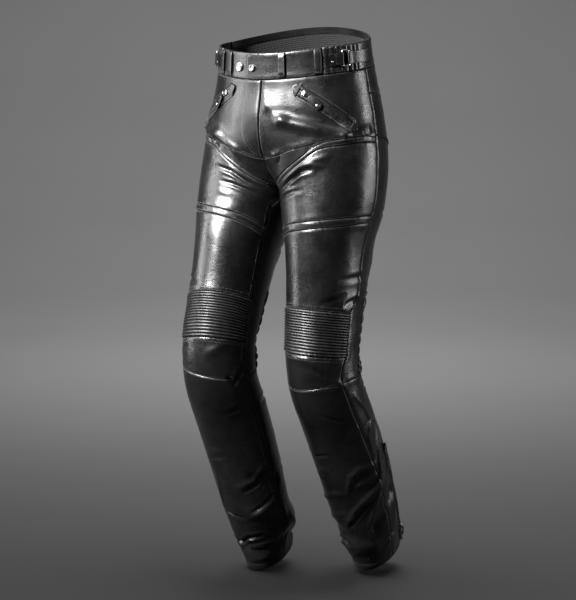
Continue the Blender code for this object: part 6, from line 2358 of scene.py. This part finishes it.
@dataclass
class Garment:
    """The trousers: both sides' cloth, the cut panels on them, their sewing and the fittings."""

    wall: float = 0.0016
    rib_round: float = 0.55
    rib_uneven: float = 0.10
    rib_uneven_size: float = 0.018
    least_area: float = 0.3
    pocket_ends: tuple[tuple[float, float], ...] = ((0.150, 0.0215), (0.365, 0.0890))
    calf_zip_ends: tuple[tuple[float, float], ...] = ((0.585, 0.715), (0.585, 0.928))
    cloths: dict[Side, Cloth] = field(init=False)
    skin: dict[Side, tuple[list, list]] = field(init=False)
    trees: dict[Side, BVHTree] = field(default_factory=dict)
    fine_sewing: Sewing = field(default_factory=Sewing)
    makes: dict[Finish, Make] = field(init=False)
    bright_metal: bpy.types.Material = field(init=False)
    thread: bpy.types.Material = field(init=False)

    def __post_init__(self) -> None:
        """Lays out the cloth of both sides, and makes the materials."""
        form, seams = BodyForm(), SeamMap()
        creases = {Side.LEFT: LEFT_CREASES, Side.RIGHT: RIGHT_CREASES}
        self.cloths = {side: Cloth(side, form, seams, Creasing(creases[side])) for side in Side}
        self.skin = {side: ([], []) for side in Side}
        finishes = (
            LeatherFinish(),
            LeatherFinish("stretch leather", roughness=(0.34, 0.50), grain_size=0.0008, coat=0.05),
            # The second colour of each woven finish is the painted shade of its hollows.
            WovenFinish("mesh cloth", (0.0065, 0.0065, 0.0070, 1), (0.0008, 0.0008, 0.0009, 1), (0.0052, 0.0070),
                        True, 0.0005),
            WovenFinish("zip cloth", (0.014, 0.014, 0.015, 1), (0.005, 0.005, 0.0055, 1), (0.0014, 0.0010),
                        False, 0.0001),
            MetalFinish(),
        )
        self.makes = {slot: Make(finish.make(), slot) for slot, finish in zip(Finish, finishes)}
        self.bright_metal = MetalFinish("bright metal", (0.50, 0.50, 0.50, 1), (0.72, 0.72, 0.71, 1),
                                        (0.14, 0.30)).make()
        self.thread = ThreadFinish().make()

    def build(self) -> None:
        """Builds the whole garment."""
        for side in Side:
            for panel in PANELS:
                self.panel(side, panel)
        self.panel(Side.RIGHT, RIGHT_FRONT_BAND)
        Waist(self).build()
        Fly(self).build()
        self.sew()
        BeltLoops(self).build()
        Snaps(self).build()
        for side in Side:
            Adjuster(self, side).build()
            self.zips(side)
        add_piece("stitching_fittings", self.fine_sewing.mesh("stitching_fittings", None),
                  Make(self.thread, Finish.LEATHER))

    def rib_lift(self, cloth: Cloth, ribs: Ribs | None) -> Array | float:
        """How far ribs raise a panel's face, over the whole grid: rounded rolls with narrow grooves between."""
        if ribs is None:
            return 0.0
        place = cloth.column_grid if ribs.upright else cloth.row_grid
        roll = np.abs(np.sin(pi * place * ribs.a_cell)) ** self.rib_round
        uneven = 1 + self.rib_uneven * field_noise(cloth.points, self.rib_uneven_size, 2.2)
        return ribs.height * roll * uneven

    def panel(self, side: Side, panel: Panel) -> None:
        """Builds one cut panel of one side, sewn in place."""
        cloth = self.cloths[side]
        columns, rows = cloth.column_start, cloth.row_start
        cells = np.zeros((len(cloth.columns) - 1, len(cloth.rows) - 1), bool)
        for first, last, top, low in panel.blocks:
            cells[columns[first] : columns[last], rows[top] : rows[low]] = True
        grid = Grid(cloth.points, cloth.normals, -side.value)
        finish = Finish.STRETCH if panel.stretch else Finish.LEATHER
        self.shell(f"{panel.name}_{side.word}", grid, cells, finish,
                   lift=self.rib_lift(cloth, panel.ribs) + panel.raised, relief=panel.relief, sides=(side,))

    def shell(self, node: str, grid: Grid, cells: Array, finish: Finish, lift: Array | float = 0.0,
              relief: Relief | None = None, thickness: float | None = None, sides: tuple[Side, ...] = (),
              held: str = "stretched", cut: Array | None = None) -> bpy.types.Object:
        """Args:
            node: The node that it replaces.
            grid: The surface.
            cells: The cells that it covers.
            finish: What it is made of.
            lift: How far its outer face is raised.
            relief: The rise and fall beside its seams.
            thickness: Its wall, or none for the leather's.
            sides: The sides whose stitches may lie on it.
            held: Not used.
            cut: Each grid point's place on the flat cut, for woven cloth.

        Returns:
            The piece.
        """
        made = Shell(grid, cells, self.wall if thickness is None else thickness, relief, lift)
        mesh = made.mesh(node)
        if cut is not None:
            add_cut_map(mesh, np.concatenate([cut[picked] for picked in made.picked]))
        piece = add_piece(f"{node}_cloth", mesh, self.makes[finish])
        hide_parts(node)
        for side in sides:
            self.add_skin(side, mesh)
        return piece

    def sew(self) -> None:
        """Sews the rows of top stitching on both sides."""
        for side, cloth in self.cloths.items():
            sewing = Sewing()
            for row in STITCHES:
                sewing.add(*cloth.seam_line(row))
            mesh = sewing.mesh(f"stitching_{side.word}", self.tree(side))
            add_piece(f"stitching_{side.word}", mesh, Make(self.thread, Finish.LEATHER))

    def add_skin(self, side: Side, mesh: bpy.types.Mesh) -> None:
        """Adds a mesh to what things on one side are set down on."""
        points, faces = self.skin[side]
        start = len(points)
        points += [tuple(vertex.co) for vertex in mesh.vertices]
        faces += [tuple(start + corner for corner in face.vertices) for face in mesh.polygons]
        self.trees.pop(side, None)

    def tree(self, side: Side) -> BVHTree:
        """The finished faces of one side, for setting things down on."""
        if side not in self.trees:
            self.trees[side] = BVHTree.FromPolygons(*self.skin[side])
        return self.trees[side]

    def patch(self, side: Side, u: float, v: float, turn: float = 0.0) -> Patch:
        """A flat frame on the finished faces of one side, turned by some degrees."""
        return Patch(self.cloths[side], self.tree(side), u, v, turn)

    def zips(self, side: Side) -> None:
        """The slanted hand pocket and the zip up the back of the calf."""
        first, last = self.pocket_ends
        along = (last[0] - first[0]) * self.patch(side, *first).u_length
        down = last[1] - first[1]
        slanted = self.patch(side, *first, -float(np.degrees(np.arctan2(along, down))))
        Zip(self, side, POCKET, slanted, float(np.hypot(along, down))).build()
        top, foot = self.calf_zip_ends
        calf = self.patch(side, *top)
        Zip(self, side, CALF, calf, (foot[1] - top[1]) * calf.v_length).build()


@dataclass
class Studio:
    """A pale seamless floor, soft lights and the camera.

    The strips and the key light only the pieces, as a photographer's flags keep them off the floor.
    """

    pieces: list[bpy.types.Object]
    floor_gap: float = 0.004
    floor_rings: tuple[tuple[float, float], ...] = ((1.5, 0.0), (3.2, 0.0), (3.8, 0.06), (4.3, 0.28), (4.7, 0.70),
                                                    (5.0, 1.4), (5.0, 3.2))
    floor_around: int = 64
    floor_colour: Colour = (0.30, 0.30, 0.305, 1)
    floor_lighter: Colour = (0.309, 0.309, 0.31415, 1)
    fill_colour: Colour = (0.80, 0.81, 0.83, 1)
    fill_strength: float = 0.025
    target: Place = (0.0063, 0.0, -0.407)
    turn: float = 35.0
    lift: float = 7.44
    distance: float = 3.2
    lens: float = 112.36
    sensor: float = 36.0
    shift: float = -0.0156

    def build(self) -> None:
        """Adds the floor, the lights and the camera."""
        self.floor(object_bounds()[0][2] - self.floor_gap)
        flagged = bpy.data.collections.new("garment")
        for piece in self.pieces:
            flagged.objects.link(piece)
        middle = (-0.10, 0.0, -0.30)
        self.light("thigh strip", (-0.75, -1.88, 1.12), (-0.14, -0.05, -0.24), (0.38, 1.1), 36, 50, flagged)
        self.light("left strip", (-2.00, -1.10, 0.15), middle, (0.40, 1.9), 12, 90, flagged)
        self.light("hip key", (-0.9, -1.1, 1.9), (0.0, 0.0, -0.1), (0.4, 0.4), 2.5, 90, flagged)
        self.light("rim", (2.3, 1.2, 0.1), (0.0, 0.0, -0.45), (0.3, 2.2), 14, 90, flagged)
        self.light("backdrop", (-1.2, 1.7, 1.3), (-2.3, 3.3, -0.9), (1.2, 1.2), 44, 170)
        self.light("floor wash", (0.0, 0.2, 2.9), (0.0, 0.6, -0.92), (2.5, 2.0), 20, 140)
        world = bpy.data.worlds.new("soft fill")
        world.use_nodes = True
        background = world.node_tree.nodes["Background"]
        background.inputs["Color"].default_value = self.fill_colour
        background.inputs["Strength"].default_value = self.fill_strength
        bpy.context.scene.world = world
        bpy.context.scene.view_settings.view_transform = "Standard"
        self.camera()

    def floor(self, height: float) -> None:
        """A round floor that curves up into a wall far away."""
        around = self.floor_around
        points = [(0.0, 0.0, height)]
        for radius, rise in self.floor_rings:
            turns = even(0.0, 2 * pi, around)[:-1]
            points += [(radius * cos(t), radius * sin(t), height + rise) for t in turns]
        faces = [(0, 1 + k, 1 + (k + 1) % around) for k in range(around)]
        for ring in range(len(self.floor_rings) - 1):
            for k in range(around):
                a, b = 1 + ring * around + k, 1 + ring * around + (k + 1) % around
                faces.append((a, a + around, b + around, b))
        mesh = bpy.data.meshes.new("floor")
        mesh.from_pydata(points, [], faces)
        mesh.shade_smooth()
        graph = Graph("pale floor")
        clouds = graph.spread(graph.noise(0.4), 0.3, 0.7)
        graph.shade({"Base Color": graph.blend(clouds, self.floor_colour, self.floor_lighter), "Roughness": 0.75})
        mesh.materials.append(graph.material)
        floor = bpy.data.objects.new("floor", mesh)
        bpy.context.scene.collection.objects.link(floor)
        floor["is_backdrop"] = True

    @staticmethod
    def light(name: str, place: Place, target: Place, size: tuple[float, float], power: float, spread: float,
              only: bpy.types.Collection | None = None) -> None:
        """Adds a rectangular soft light that is unseen by the camera.

        Args:
            name: Its name.
            place: Where it stands.
            target: What it is aimed at.
            size: Its width and height in metres.
            power: Its power in watts.
            spread: The angle of its beam in degrees.
            only: What it lights, or none for everything.
        """
        data = bpy.data.lights.new(name, "AREA")
        data.shape = "RECTANGLE"
        data.size, data.size_y = size
        data.energy = power
        data.spread = radians(spread)
        lamp = bpy.data.objects.new(name, data)
        lamp.location = place
        lamp.rotation_euler = (Vector(target) - Vector(place)).to_track_quat("-Z", "Y").to_euler()
        lamp.visible_camera = False
        if only is not None:
            lamp.light_linking.receiver_collection = only
        bpy.context.scene.collection.objects.link(lamp)

    def camera(self) -> None:
        """The camera, where the photograph was taken from."""
        turn, lift = radians(self.turn), radians(self.lift)
        back = Vector((sin(turn) * cos(lift), -cos(turn) * cos(lift), sin(lift)))
        data = bpy.data.cameras.new("camera")
        data.sensor_fit = "HORIZONTAL"
        data.sensor_width = self.sensor
        data.lens = self.lens
        data.shift_x = self.shift
        camera = bpy.data.objects.new("camera", data)
        camera.location = Vector(self.target) + back * self.distance
        camera.rotation_euler = back.to_track_quat("Z", "Y").to_euler()
        bpy.context.scene.collection.objects.link(camera)
        bpy.context.scene.camera = camera


def main() -> None:
    """Builds the garment in its studio."""
    logging.basicConfig(level=logging.INFO, format="%(message)s")
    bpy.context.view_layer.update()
    solids = set(bpy.context.scene.objects)
    Garment().build()
    Studio([piece for piece in bpy.context.scene.objects if piece not in solids]).build()


if __name__ == "__main__":
    main()
